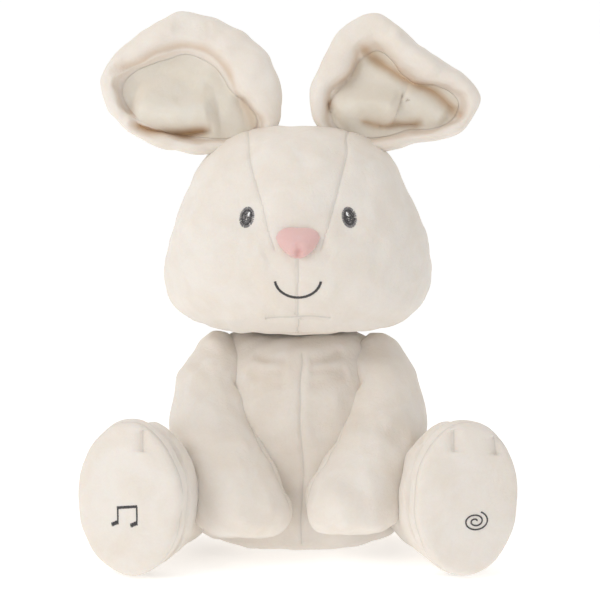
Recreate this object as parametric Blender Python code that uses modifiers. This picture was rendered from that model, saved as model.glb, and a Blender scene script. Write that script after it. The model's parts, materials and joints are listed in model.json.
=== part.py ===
"""A seated plush rabbit with motor-driven ears and a push button in each foot.

Metres, +Z up. The rabbit faces -Y, so its own left side is +X. The origin is the
middle of the footprint, on the floor. A "side" is +1 for left and -1 for right.
"""

import math

import bmesh
import bpy
from mathutils import Matrix, Vector

# Clearances
GAP = 0.0004  # between pieces that touch
RUN = 0.0003  # radial, between a turning or sliding piece and its bearing
SOFT_GAP = 0.0012  # between two stuffed pieces, so that moving ones never rub

# Overall
FOOT_REACH = 0.090  # from the middle of the footprint to the front of the soles
HEAD_BASE = 0.1215  # the seam where the head sits on the neck
HEAD_HEIGHT = 0.1185
TORSO_Y = 0.017
HEAD_Y = 0.006

# Torso: height as a share of the torso, half width, half depth
TORSO_HALF_WIDTH = 0.066
TORSO_HALF_DEPTH = 0.055
TORSO_SHAPE = (
    (0.0, 0.86, 0.84), (0.05, 0.95, 0.95), (0.25, 1.0, 1.0), (0.46, 0.98, 0.98),
    (0.69, 0.87, 0.92), (0.87, 0.71, 0.73), (1.0, 0.58, 0.56),
)

# Head: height as a share of the head, half width, half depth
HEAD_HALF_WIDTH = 0.0785
HEAD_HALF_DEPTH = 0.060
HEAD_SHAPE = (
    (0.0, 0.50, 0.50), (0.035, 0.75, 0.72), (0.12, 0.92, 0.90), (0.30, 1.0, 1.0),
    (0.50, 0.93, 0.95), (0.70, 0.82, 0.84), (0.86, 0.68, 0.68), (0.96, 0.46, 0.42),
    (1.0, 0.22, 0.20),
)

# Face
EYE_SPREAD = 0.0276
EYE_HEIGHT = 0.188
EYE_SIZE = (0.0040, 0.0040, 0.0058)
NOSE_HEIGHT = 0.1735
NOSE_SIZE = (0.0130, 0.0085)
MOUTH_HEIGHT = 0.1455
MOUTH_HALF_WIDTH = 0.0123
MOUTH_RISE = 0.0100
THREAD_RADIUS = 0.0008

# Ears
EAR_AXIS_Y = 0.010
EAR_AXIS_Z = 0.2345
EAR_SWING = 60.0  # degrees forward
EAR_RADII = Vector((0.0485, 0.0165, 0.0400))
EAR_CENTRE = Vector((0.0625, 0.0070, 0.2645))
EAR_DISH = Vector((0.0380, 0.0150, 0.0300))
EAR_LINING = 0.0012
EAR_ROOT_RADIUS = 0.0110
EAR_ROOT_START = 0.0160
EAR_ROOT_END = 0.0460

# Ear drive
MODULE = 0.0008
SECTOR_TEETH = 36
PINION_TEETH = 12
LAY_GEAR_TEETH = 30
BACKLASH = 0.00022
FACE_WIDTH = 0.0030
SECTOR_X = 0.0108  # middle of the sector and of its pinion
AXLE_RADIUS = 0.0015
HUB_RADIUS = 0.0036
CASE_HALF_WIDTH = 0.0070
CASE_WALL = 0.0015
CASE_ROOM = 0.0007  # between the widest gear's teeth and the wall
LUG_HALF_DEPTH = 0.0042
MOTOR_RADIUS = 0.0100
MOTOR_LENGTH = 0.0250
PADDLE = (0.0220, 0.0340, 0.0015, 0.0280)  # from x, to x, half thickness, height
SCREW_RADIUS = 0.0011
SCREW_HEAD = 0.0021

# Sound module in the torso
BODY_HALF_WIDTH = 0.0350
BODY_LOW = 0.0350
BODY_FRONT = 0.0020
BODY_SPLIT = 0.0360
BODY_WALL = 0.0016
CELL_RADIUS = 0.00705
CELL_LENGTH = 0.0500
CELL_COUNT = 3
CELL_SPACE = 0.0008  # between two cells
CELL_COVER = 0.0039  # from the cells to the rear face, for the door's ribs
DOOR_THICKNESS = 0.0020
SPEAKER_RADIUS = 0.0190
SWITCH_TRAVEL = 0.0045
NECK_RADIUS = 0.0080
CABLE_RADIUS = 0.0011

# Back flap
FLAP_HALF_WIDTH = 0.0345
FLAP_OVERLAP = (0.0060, 0.0020)  # below and above the module
FLAP_THICKNESS = 0.0040
TAPE = (0.0200, 0.0055, 0.0006)  # half length, height, thickness
TAIL_RADIUS = 0.0135
TAIL_PROUD = 0.0180  # how far the tail stands out behind the torso

# Arms
SHOULDER = Vector((0.0, 0.008, 0.094))
ARM_SWING = 50.0
ARM_PATH = (
    # x, y, z, half width, half depth
    (0.0400, 0.0080, 0.1130, 0.0090, 0.0120),
    (0.0440, 0.0070, 0.1080, 0.0170, 0.0190),
    (0.0470, 0.0020, 0.0940, 0.0215, 0.0235),
    (0.0480, -0.0160, 0.0690, 0.0235, 0.0245),
    (0.0370, -0.0360, 0.0430, 0.0258, 0.0240),
    (0.0275, -0.0470, 0.0230, 0.0262, 0.0245),
    (0.0272, -0.0520, 0.0090, 0.0215, 0.0205),
    (0.0272, -0.0530, 0.0020, 0.0110, 0.0110),
)

# Legs and feet
HIP_SPREAD = 0.0643  # from the middle to each leg's end beside the torso
FOOT_TURN = 14.0  # degrees outwards
FOOT_HALF_WIDTH = 0.0295
FOOT_HALF_HEIGHT = 0.0415
FOOT_CLEAR = 0.0006  # height of the lowest seam over the floor
SOLE_THICKNESS = 0.0060
SOLE_FACE = 0.90  # size of the flat part of the sole as a share of its outline
BUTTON_TRAVEL = 0.0025
LEG_END_Y = 0.0134  # where the leg ends beside the torso
BASE_RADIUS = 0.0120
BASE_DEPTH = 0.0160
CAP_RADIUS = 0.0080
SPRING_WIRE = 0.0005
SPRING_RADIUS = 0.0050
SPRING_TURNS = 4
SPRING_SIDES = 8

SIDES = (("left", 1), ("right", -1))
SECTOR_PITCH = MODULE * SECTOR_TEETH / 2
PINION_PITCH = MODULE * PINION_TEETH / 2
LAY_PITCH = MODULE * LAY_GEAR_TEETH / 2
LAY_Z = EAR_AXIS_Z - SECTOR_PITCH - PINION_PITCH
MOTOR_Z = LAY_Z - LAY_PITCH - PINION_PITCH
CASE_LOW = MOTOR_Z - PINION_PITCH - 0.0100
CASE_HIGH = LAY_Z + LAY_PITCH + MODULE + RUN + CASE_WALL
CASE_HALF_DEPTH = LAY_PITCH + MODULE + CASE_ROOM + CASE_WALL
BODY_HIGH = BODY_LOW + 2 * BODY_WALL + CELL_COUNT * (2 * CELL_RADIUS + CELL_SPACE)
BODY_BACK = BODY_SPLIT + BODY_WALL + GAP + 2 * CELL_RADIUS + CELL_COVER
FLAP_LOW = BODY_LOW - FLAP_OVERLAP[0]
FLAP_HIGH = BODY_HIGH + FLAP_OVERLAP[1]
NECK_Y = EAR_AXIS_Y + 0.0060
FOOT_Y = -(FOOT_REACH - SOLE_FACE * FOOT_HALF_WIDTH * math.sin(math.radians(FOOT_TURN)))
FOOT_Z = FOOT_HALF_HEIGHT + FOOT_CLEAR
LEG_LENGTH = (LEG_END_Y - FOOT_Y) / math.cos(math.radians(FOOT_TURN))
FOOT_SPREAD = HIP_SPREAD + LEG_LENGTH * math.sin(math.radians(FOOT_TURN))
LEG_FRONT = SOLE_THICKNESS + BUTTON_TRAVEL + 0.0008
BASE_START = LEG_FRONT + 0.0010
POST_RADIUS = 0.0024
SCREW_SIDE = CASE_HALF_DEPTH - POST_RADIUS - GAP
SCREW_PLACES = (
    # y and z of each screw
    (EAR_AXIS_Y - SCREW_SIDE, CASE_HIGH - POST_RADIUS - GAP),
    (EAR_AXIS_Y + SCREW_SIDE, CASE_HIGH - POST_RADIUS - GAP),
    (EAR_AXIS_Y + SCREW_SIDE, CASE_LOW + POST_RADIUS + GAP),
)

COLOURS = {
    # colour, roughness, metallic
    "plush": ((0.83, 0.78, 0.72), 0.95, 0.0),
    "lining": ((0.72, 0.63, 0.53), 0.95, 0.0),
    "nose": ((0.80, 0.57, 0.57), 0.9, 0.0),
    "thread": ((0.10, 0.10, 0.11), 0.7, 0.0),
    "shell_plastic": ((0.62, 0.63, 0.64), 0.5, 0.0),
    "gear_plastic": ((0.86, 0.85, 0.80), 0.4, 0.0),
    "button_plastic": ((0.85, 0.85, 0.86), 0.45, 0.0),
    "steel": ((0.60, 0.60, 0.61), 0.3, 1.0),
    "board": ((0.05, 0.25, 0.12), 0.5, 0.0),
    "cone_paper": ((0.06, 0.06, 0.06), 0.8, 0.0),
    "cell_jacket": ((0.12, 0.13, 0.15), 0.35, 0.0),
    "cable": ((0.05, 0.05, 0.05), 0.5, 0.0),
    "tape": ((0.80, 0.78, 0.74), 1.0, 0.0),
}


# Scene and materials ---------------------------------------------------------

def clear_scene():
    for obj in list(bpy.data.objects):
        bpy.data.objects.remove(obj, do_unlink=True)


def collection(name):
    made = bpy.data.collections.new(name)
    bpy.context.scene.collection.children.link(made)
    return made


def material(slot):
    made = bpy.data.materials.get(slot)
    if made is None:
        colour, roughness, metallic = COLOURS[slot]
        made = bpy.data.materials.new(slot)
        made.use_nodes = True
        shader = made.node_tree.nodes["Principled BSDF"]
        shader.inputs["Base Color"].default_value = (*colour, 1.0)
        shader.inputs["Roughness"].default_value = roughness
        shader.inputs["Metallic"].default_value = metallic
        made.diffuse_color = (*colour, 1.0)
    return made


def add(name, mesh, slot, matrix=None):
    """Puts a mesh in the scene as a part, or as a cutter when it has no slot."""
    obj = bpy.data.objects.new(name, mesh)
    if slot:
        PARTS.objects.link(obj)
        if not mesh.materials:
            mesh.materials.append(material(slot))
    else:
        CUTTERS.objects.link(obj)
        obj.hide_render = True
        obj.display_type = "WIRE"
    if matrix:
        obj.matrix_world = matrix
    return obj


def finish_mesh(name, bm, smooth=True):
    bmesh.ops.recalc_face_normals(bm, faces=bm.faces)
    mesh = bpy.data.meshes.new(name)
    bm.to_mesh(mesh)
    bm.free()
    if smooth:
        mesh.shade_smooth()
        mesh.set_sharp_from_angle(angle=math.radians(40))
    return mesh


def boolean(obj, other, operation="DIFFERENCE", solver="EXACT"):
    modifier = obj.modifiers.new(f"{operation.lower()} {other.name}", "BOOLEAN")
    modifier.operation = operation
    modifier.object = other
    modifier.solver = solver


def carve(obj, other, operation="DIFFERENCE"):
    """A cut or join on a stuffed form, whose skins nearly coincide in places."""
    boolean(obj, other, operation, "MANIFOLD")


# Basic shapes ----------------------------------------------------------------

def box(name, low, high, slot=None, matrix=None):
    low, high = Vector(low), Vector(high)
    bm = bmesh.new()
    bmesh.ops.create_cube(bm, size=1.0)
    size, centre = high - low, (low + high) / 2
    for vert in bm.verts:
        vert.co = Vector(c * s for c, s in zip(vert.co, size)) + centre
    return add(name, finish_mesh(name, bm, smooth=False), slot, matrix)


def turn_to(direction):
    return Vector((0, 0, 1)).rotation_difference(Vector(direction)).to_matrix().to_4x4()


def rod(name, start, end, radius, slot=None, sides=18):
    """A cylinder between two points."""
    start, end = Vector(start), Vector(end)
    bm = bmesh.new()
    bmesh.ops.create_cone(
        bm, cap_ends=True, segments=sides, radius1=radius,
        radius2=radius, depth=(end - start).length,
    )
    place = Matrix.Translation((start + end) / 2) @ turn_to(end - start)
    return add(name, finish_mesh(name, bm), slot, place)


def ball(name, centre, radii, slot=None, segments=24, rings=14):
    bm = bmesh.new()
    bmesh.ops.create_uvsphere(bm, u_segments=segments, v_segments=rings, radius=1.0)
    for vert in bm.verts:
        vert.co = Vector(c * r for c, r in zip(vert.co, radii))
    return add(name, finish_mesh(name, bm), slot, Matrix.Translation(centre))


def ring_point(angle, half_width, half_depth, power):
    """A point of a squared-off oval: power 2 is an ellipse."""
    c, s = math.cos(angle), math.sin(angle)
    return (
        half_width * math.copysign(abs(c) ** (2 / power), c),
        half_depth * math.copysign(abs(s) ** (2 / power), s),
    )


def blend_stations(stations, steps):
    """Reads a smooth curve through the stations, steps points to each span."""
    rows = []
    last = len(stations) - 1
    for i in range(last):
        a, b = stations[max(i - 1, 0)], stations[i]
        c, d = stations[i + 1], stations[min(i + 2, last)]
        for k in range(steps):
            t = k / steps
            rows.append([
                0.5 * (2 * q + (r - p) * t + (2 * p - 5 * q + 4 * r - s) * t**2
                       + (3 * q - p - 3 * r + s) * t**3)
                for p, q, r, s in zip(a, b, c, d)
            ])
    rows.append(list(stations[last]))
    return rows


def loft(name, rings, sides, power, slot=None, matrix=None):
    """A closed skin over rings of (centre, across, along, half width, half depth)."""
    bm = bmesh.new()
    loops = []
    for centre, across, along, half_width, half_depth in rings:
        points = [
            ring_point(2 * math.pi * k / sides, half_width, half_depth, power)
            for k in range(sides)
        ]
        loops.append([bm.verts.new(centre + across * u + along * v) for u, v in points])
    for low, high in zip(loops, loops[1:]):
        for k in range(sides):
            n = (k + 1) % sides
            bm.faces.new((low[k], low[n], high[n], high[k]))
    bm.faces.new(reversed(loops[0]))
    bm.faces.new(loops[-1])
    return add(name, finish_mesh(name, bm), slot, matrix)


def plate(name, outline, holes, half_thickness, slot=None, matrix=None):
    """A flat outline with holes, thickened both ways along its own Z."""
    curve = bpy.data.curves.new(name, "CURVE")
    curve.dimensions = "2D"
    curve.fill_mode = "BOTH"
    curve.extrude = half_thickness
    for points in [outline, *holes]:
        spline = curve.splines.new("POLY")
        spline.points.add(len(points) - 1)
        for point, (u, v) in zip(spline.points, points):
            point.co = (u, v, 0, 1)
        spline.use_cyclic_u = True
    return add(name, curve_mesh(name, curve), slot, matrix)


def circle(radius, sides=24, centre=(0, 0)):
    turns = [2 * math.pi * k / sides for k in range(sides)]
    return [(centre[0] + radius * math.cos(a), centre[1] + radius * math.sin(a)) for a in turns]


def curve_mesh(name, curve):
    """Makes a curve a closed mesh, with its loose caps welded on."""
    guide = bpy.data.objects.new(name + "_curve", curve)
    bpy.context.scene.collection.objects.link(guide)
    bpy.context.view_layer.update()
    evaluated = guide.evaluated_get(bpy.context.evaluated_depsgraph_get())
    mesh = bpy.data.meshes.new_from_object(evaluated)
    bpy.data.objects.remove(guide)
    bm = bmesh.new()
    bm.from_mesh(mesh)
    bpy.data.meshes.remove(mesh)
    bmesh.ops.remove_doubles(bm, verts=bm.verts, dist=1e-6)
    return finish_mesh(name, bm)


def tube(name, points, radius, slot=None, resolution=2):
    curve = bpy.data.curves.new(name, "CURVE")
    curve.dimensions = "3D"
    curve.bevel_depth = radius
    curve.bevel_resolution = resolution
    curve.use_fill_caps = True
    spline = curve.splines.new("POLY")
    spline.points.add(len(points) - 1)
    for place, point in zip(spline.points, points):
        place.co = (*point, 1)
    return add(name, curve_mesh(name, curve), slot)


def turned(name, profile, slot, matrix=None, steps=20):
    """A profile of (radius, height) spun about local Z, from its top down."""
    bm = bmesh.new()
    verts = [bm.verts.new((radius, 0, height)) for radius, height in profile]
    for a, b in zip(verts, verts[1:]):
        bm.edges.new((a, b))
    mesh = bpy.data.meshes.new(name)
    bm.to_mesh(mesh)
    bm.free()
    obj = add(name, mesh, slot, matrix)
    screw = obj.modifiers.new("turn", "SCREW")
    screw.axis = "Z"
    screw.steps = steps
    screw.render_steps = steps
    screw.use_merge_vertices = True
    screw.merge_threshold = 0.00001
    screw.use_smooth_shade = True
    return obj


# Stuffed forms ---------------------------------------------------------------

def standing_rings(shape, base, height, half_width, half_depth, middle_y, grow):
    rings = []
    for share, wide, deep in blend_stations(shape, 2):
        lift = grow * (2 * min(max(share, 0), 1) - 1)
        rings.append((
            Vector((0, middle_y, base + height * share + lift)),
            Vector((1, 0, 0)), Vector((0, 1, 0)),
            half_width * wide + grow, half_depth * deep + grow,
        ))
    return rings


def torso_form(name, grow=0.0, slot=None):
    height = HEAD_BASE - GAP
    rings = standing_rings(
        TORSO_SHAPE, 0.0, height, TORSO_HALF_WIDTH, TORSO_HALF_DEPTH, TORSO_Y, grow
    )
    return loft(name, rings, 24, 2.2, slot)


def head_form(name, grow=0.0, slot=None):
    rings = standing_rings(
        HEAD_SHAPE, HEAD_BASE, HEAD_HEIGHT, HEAD_HALF_WIDTH, HEAD_HALF_DEPTH, HEAD_Y, grow
    )
    return loft(name, rings, 24, 2.3, slot)


def head_front(x, z):
    """The y of the head's front surface at a place on the face."""
    share = (z - HEAD_BASE) / HEAD_HEIGHT
    rows = blend_stations(HEAD_SHAPE, 2)
    for low, high in zip(rows, rows[1:]):
        if low[0] <= share <= high[0]:
            t = (share - low[0]) / (high[0] - low[0])
            wide, deep = (low[i] + (high[i] - low[i]) * t for i in (1, 2))
            reach = 1 - abs(x / (HEAD_HALF_WIDTH * wide)) ** 2.3
            return HEAD_Y - HEAD_HALF_DEPTH * deep * max(reach, 0) ** (1 / 2.3)
    raise ValueError("the place is off the head")


def arm_form(name, side, grow=0.0, slot=None):
    rows = blend_stations(ARM_PATH, 2)
    spots = [Vector((side * row[0], row[1], row[2])) for row in rows]
    rings = []
    for i, (row, spot) in enumerate(zip(rows, spots)):
        ahead = spots[min(i + 1, len(spots) - 1)] - spots[max(i - 1, 0)]
        along = ahead.normalized()
        deep = along.cross(Vector((1, 0, 0))).normalized()
        across = deep.cross(along).normalized()
        end = grow * (-1 if i == 0 else 1 if i == len(spots) - 1 else 0)
        rings.append((spot + along * end, across, deep, row[3] + grow, row[4] + grow))
    return loft(name, rings, 16, 2.2, slot)


def swung(source, name, point, axis, degrees):
    """A cutter with the source's shape, turned about an axis through a point."""
    turn = Matrix.Rotation(math.radians(degrees), 4, Vector(axis))
    place = Matrix.Translation(point) @ turn @ Matrix.Translation(-Vector(point))
    return add(name, source.data, None, place @ source.matrix_world)


# Gears -----------------------------------------------------------------------

def involute(angle):
    return math.tan(angle) - angle


def tooth_points(teeth, middle):
    """Left flank up and right flank down of one tooth, about the gear's centre."""
    pitch = MODULE * teeth / 2
    base = pitch * math.cos(math.radians(20))
    root, tip = pitch - 1.15 * MODULE, pitch + 0.85 * MODULE
    half = math.pi / (2 * teeth) - BACKLASH / (2 * pitch) + involute(math.radians(20))
    heights = [root, max(base, root + 0.2 * MODULE), tip]
    flank = []
    for r in heights:
        slope = math.acos(min(base / r, 1.0))
        flank.append((r, half - involute(slope)))
    right = [(r, middle - a) for r, a in flank]
    left = [(r, middle + a) for r, a in reversed(flank)]
    return [(r * math.cos(a), r * math.sin(a)) for r, a in right + left]


def gear_outline(teeth, first):
    points = []
    for k in range(teeth):
        points += tooth_points(teeth, first + 2 * math.pi * k / teeth)
    return points


def across_x(x, y, z):
    """Places a plate drawn in its own XY plane into the YZ plane at x."""
    turn = Matrix(((0, 0, 1, 0), (1, 0, 0, 0), (0, 1, 0, 0), (0, 0, 0, 1)))
    return Matrix.Translation((x, y, z)) @ turn


def spur_gear(name, teeth, first, bore, x, z, half_width):
    place = across_x(x, EAR_AXIS_Y, z)
    outline = gear_outline(teeth, first)
    return plate(name, outline, [circle(bore, 16)], half_width, "gear_plastic", place)


def sector_outline():
    """A hub with a fan of teeth that reaches from just behind the bottom to the front."""
    step = 2 * math.pi / SECTOR_TEETH
    ahead = math.ceil(math.radians(EAR_SWING) / step) + 1
    points = []
    for k in range(ahead, -2, -1):
        points += tooth_points(SECTOR_TEETH, -math.pi / 2 - k * step)
    flare = 0.3
    start = -math.pi / 2 + 1.5 * step + flare
    end = 1.5 * math.pi - (ahead + 0.5) * step - flare
    arc = [start + (end - start) * k / 10 for k in range(11)]
    return points + [(HUB_RADIUS * math.cos(a), HUB_RADIUS * math.sin(a)) for a in arc]


# Head and its drive ----------------------------------------------------------

def make_head():
    head = head_form("head_plush", 0.0, "plush")
    side_room = SECTOR_X + FACE_WIDTH / 2 + GAP
    reach = SECTOR_PITCH + MODULE + GAP
    carve(head, box(
        "cut_gearbox",
        (-side_room, EAR_AXIS_Y - CASE_HALF_DEPTH - GAP, CASE_LOW - GAP),
        (side_room, EAR_AXIS_Y + CASE_HALF_DEPTH + GAP, EAR_AXIS_Z - 0.004),
    ))
    carve(head, box(
        "cut_motor",
        (0, EAR_AXIS_Y - MOTOR_RADIUS - GAP, MOTOR_Z - MOTOR_RADIUS - GAP),
        (CASE_HALF_WIDTH + MOTOR_LENGTH + 2 * GAP, EAR_AXIS_Y + MOTOR_RADIUS + GAP,
         MOTOR_Z + MOTOR_RADIUS + GAP),
    ))
    sector_room = rod(
        "cut_sectors", (-side_room, EAR_AXIS_Y, EAR_AXIS_Z), (side_room, EAR_AXIS_Y, EAR_AXIS_Z),
        reach, sides=32,
    )
    roof = box("trim_roof", (-0.05, -0.05, EAR_AXIS_Z + 0.0005), (0.05, 0.07, EAR_AXIS_Z + 0.05))
    boolean(sector_room, roof)
    carve(head, sector_room)
    carve(head, box(
        "cut_lugs",
        (-CASE_HALF_WIDTH - GAP, EAR_AXIS_Y - LUG_HALF_DEPTH - GAP, CASE_HIGH - 0.001),
        (CASE_HALF_WIDTH + GAP, EAR_AXIS_Y + LUG_HALF_DEPTH + GAP, EAR_AXIS_Z + HUB_RADIUS + GAP),
    ))
    carve(head, rod(
        "cut_hubs", (-EAR_ROOT_END, EAR_AXIS_Y, EAR_AXIS_Z), (EAR_ROOT_END, EAR_AXIS_Y, EAR_AXIS_Z),
        HUB_RADIUS + RUN,
    ))
    carve(head, rod(
        "cut_neck", (0, NECK_Y, HEAD_BASE - 0.01), (0, NECK_Y, CASE_LOW), NECK_RADIUS + GAP,
    ))
    for word, side in SIDES:
        carve(head, rod(
            f"cut_{word}_root",
            (side * (EAR_ROOT_START - GAP), EAR_AXIS_Y, EAR_AXIS_Z),
            (side * 0.09, EAR_AXIS_Y, EAR_AXIS_Z),
            EAR_ROOT_RADIUS + SOFT_GAP, sides=32,
        ))
    return head


def half_case(word, side):
    """One half of the gearbox: an open tray with a lug on top that holds the ear axle."""
    low = (0, EAR_AXIS_Y - CASE_HALF_DEPTH, CASE_LOW)
    high = (CASE_HALF_WIDTH, EAR_AXIS_Y + CASE_HALF_DEPTH, CASE_HIGH)
    inner = (CASE_HALF_WIDTH - CASE_WALL, high[1] - CASE_WALL, high[2] - CASE_WALL)

    def mirrored(corners_low, corners_high):
        xs = sorted((side * corners_low[0], side * corners_high[0]))
        return (xs[0], *corners_low[1:]), (xs[1], *corners_high[1:])

    seam = GAP / 2
    case = box(f"gearbox_{word}_half", *mirrored((seam, low[1], low[2]), high), "shell_plastic")
    lug_low = (CASE_HALF_WIDTH - 0.003, EAR_AXIS_Y - LUG_HALF_DEPTH, high[2] - 0.001)
    lug_high = (CASE_HALF_WIDTH, EAR_AXIS_Y + LUG_HALF_DEPTH, EAR_AXIS_Z + HUB_RADIUS)
    boolean(case, box(f"join_{word}_lug", *mirrored(lug_low, lug_high)), "UNION")
    room_low = (-0.001, low[1] + CASE_WALL, low[2] + CASE_WALL)
    room = box(f"cut_{word}_tray", *mirrored(room_low, inner))
    for k, (y, z) in enumerate(SCREW_PLACES):
        boolean(room, rod(
            f"keep_{word}_post_{k}", (-side * 0.002, y, z), (side * 0.02, y, z), POST_RADIUS, sides=16,
        ))
    boolean(case, room)
    for name, z, radius in (
        ("axle", EAR_AXIS_Z, AXLE_RADIUS + GAP / 2),
        ("layshaft", LAY_Z, AXLE_RADIUS + RUN),
    ):
        boolean(case, rod(
            f"cut_{word}_{name}", (0, EAR_AXIS_Y, z), (side * 0.03, EAR_AXIS_Y, z), radius, sides=20,
        ))
    if side > 0:
        boolean(case, rod(
            "cut_motor_shaft", (0, EAR_AXIS_Y, MOTOR_Z), (0.03, EAR_AXIS_Y, MOTOR_Z), 0.0032,
        ))
    for k, (y, z) in enumerate(SCREW_PLACES):
        end = CASE_HALF_WIDTH + 0.01 if side > 0 else CASE_HALF_WIDTH - 0.0020
        boolean(case, rod(
            f"cut_{word}_screw_{k}", (-side * 0.001, y, z), (side * end, y, z),
            SCREW_RADIUS + GAP / 2, sides=12,
        ))
    return case


def make_gearbox_screws():
    for k, (y, z) in enumerate(SCREW_PLACES):
        top = CASE_HALF_WIDTH + GAP
        profile = [
            (0, 0.0014), (SCREW_HEAD, 0.0011), (SCREW_HEAD, 0), (SCREW_RADIUS, 0),
            (SCREW_RADIUS, -2 * CASE_HALF_WIDTH + 0.0035), (0, -2 * CASE_HALF_WIDTH + 0.0028),
        ]
        place = Matrix.Translation((top, y, z)) @ turn_to((1, 0, 0))
        turned(f"gearbox_screw_{k + 1}", profile, "steel", place, 10)


def make_drive():
    spur_gear("lay_gear", LAY_GEAR_TEETH, -math.pi / 2, AXLE_RADIUS + GAP / 2, 0, LAY_Z, 0.0022)
    gap_up = math.pi / 2 + math.pi / PINION_TEETH
    for word, side in SIDES:
        spur_gear(
            f"{word}_lay_pinion", PINION_TEETH, gap_up, AXLE_RADIUS + GAP / 2,
            side * SECTOR_X, LAY_Z, FACE_WIDTH / 2,
        )
    reach = SECTOR_X + FACE_WIDTH / 2
    rod("lay_shaft", (-reach, EAR_AXIS_Y, LAY_Z), (reach, EAR_AXIS_Y, LAY_Z), AXLE_RADIUS, "steel", 20)
    end = EAR_ROOT_END - 0.006
    rod(
        "ear_axle", (-end, EAR_AXIS_Y, EAR_AXIS_Z), (end, EAR_AXIS_Y, EAR_AXIS_Z),
        AXLE_RADIUS, "steel", 20,
    )
    spur_gear("motor_pinion", PINION_TEETH, gap_up, 0.0010 + GAP / 2, 0, MOTOR_Z, 0.0020)
    motor_start = CASE_HALF_WIDTH + GAP
    profile = [
        (0, 0), (0.0030, 0), (0.0030, -0.0012), (MOTOR_RADIUS, -0.0016),
        (MOTOR_RADIUS, -MOTOR_LENGTH + 0.001), (MOTOR_RADIUS - 0.001, -MOTOR_LENGTH), (0, -MOTOR_LENGTH),
    ]
    place = Matrix.Translation((motor_start - 0.0010, EAR_AXIS_Y, MOTOR_Z)) @ turn_to((-1, 0, 0))
    motor = turned("ear_motor", profile, "steel", place)
    shaft = rod(
        "join_motor_shaft", (-0.0020, EAR_AXIS_Y, MOTOR_Z),
        (motor_start + 0.001, EAR_AXIS_Y, MOTOR_Z), 0.0010, sides=14,
    )
    boolean(motor, shaft, "UNION")


def paddle_box(name, side, grow, slot=None):
    x0, x1, half, height = PADDLE
    xs = sorted((side * (x0 - grow), side * (x1 + grow)))
    low = (xs[0], EAR_AXIS_Y - half - grow, EAR_AXIS_Z)
    high = (xs[1], EAR_AXIS_Y + half + grow, EAR_AXIS_Z + height + grow)
    return box(name, low, high, slot)


def make_ear_lever(word, side):
    """The rigid lever that the drive turns: sector, hub and a paddle inside the ear."""
    place = across_x(side * SECTOR_X, EAR_AXIS_Y, EAR_AXIS_Z)
    lever = plate(f"{word}_ear_lever", sector_outline(), [], FACE_WIDTH / 2, "gear_plastic", place)
    start = SECTOR_X - FACE_WIDTH / 2 + 0.0002
    boolean(lever, rod(
        f"join_{word}_hub", (side * start, EAR_AXIS_Y, EAR_AXIS_Z),
        (side * (EAR_ROOT_END - 0.003), EAR_AXIS_Y, EAR_AXIS_Z), HUB_RADIUS - 0.0001,
    ), "UNION")
    boolean(lever, paddle_box(f"join_{word}_paddle", side, 0.0), "UNION")
    boolean(lever, rod(
        f"cut_{word}_bore", (0, EAR_AXIS_Y, EAR_AXIS_Z),
        (side * (EAR_ROOT_END - 0.0055), EAR_AXIS_Y, EAR_AXIS_Z), AXLE_RADIUS + RUN, sides=20,
    ))


def make_ear(word, side):
    centre = Vector((side * EAR_CENTRE.x, EAR_CENTRE.y, EAR_CENTRE.z))
    axis = Vector((0, EAR_AXIS_Y, EAR_AXIS_Z))
    ear = ball(f"{word}_ear", centre, EAR_RADII, "plush", 22, 12)
    root = rod(
        f"join_{word}_root", (side * EAR_ROOT_START, EAR_AXIS_Y, EAR_AXIS_Z),
        (side * EAR_ROOT_END, EAR_AXIS_Y, EAR_AXIS_Z), EAR_ROOT_RADIUS,
    )
    carve(ear, root, "UNION")
    # the head must stay clear of the ear all the way through its swing
    shape = head_form(f"cut_{word}_ear_rest", SOFT_GAP)
    trough = rod(
        f"keep_{word}_root", (side * (EAR_ROOT_START - 0.002), EAR_AXIS_Y, EAR_AXIS_Z),
        (side * (EAR_ROOT_END + 0.004), EAR_AXIS_Y, EAR_AXIS_Z), EAR_ROOT_RADIUS + 0.0004,
    )
    carve(shape, trough)
    carve(ear, shape)
    for degrees in (EAR_SWING / 3, EAR_SWING * 2 / 3, EAR_SWING):
        sweep = swung(shape, f"cut_{word}_ear_{degrees:.0f}", axis, (1, 0, 0), -degrees)
        keep = swung(trough, f"keep_{word}_root_{degrees:.0f}", axis, (1, 0, 0), 0)
        carve(sweep, keep)
        carve(ear, sweep)
    dish_centre = centre + Vector((side * 0.002, -0.0165, -0.002))
    dish = ball(f"cut_{word}_dish", dish_centre, EAR_DISH, None, 20, 10)
    carve(ear, dish)
    hub = rod(
        f"cut_{word}_hub", (0, EAR_AXIS_Y, EAR_AXIS_Z),
        (side * (EAR_ROOT_END - 0.0025), EAR_AXIS_Y, EAR_AXIS_Z), HUB_RADIUS + GAP,
    )
    carve(ear, hub)
    carve(ear, paddle_box(f"cut_{word}_paddle", side, GAP))
    make_ear_lining(word, dish_centre)


def make_ear_lining(word, dish_centre):
    """The inner panel: a thin bowl against the hollow of the ear."""
    outer = EAR_DISH - Vector((GAP, GAP, GAP))
    inner = outer - Vector((EAR_LINING, EAR_LINING, EAR_LINING))
    lining = ball(f"{word}_ear_lining", dish_centre, outer, "lining", 20, 10)
    boolean(lining, ball(f"cut_{word}_lining", dish_centre, inner, None, 20, 10))
    front = EAR_CENTRE.y - EAR_RADII.y * 0.42
    boolean(lining, box(f"trim_{word}_lining", (-0.2, -0.2, 0.1), (0.2, front, 0.4)))


# Face ------------------------------------------------------------------------

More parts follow.
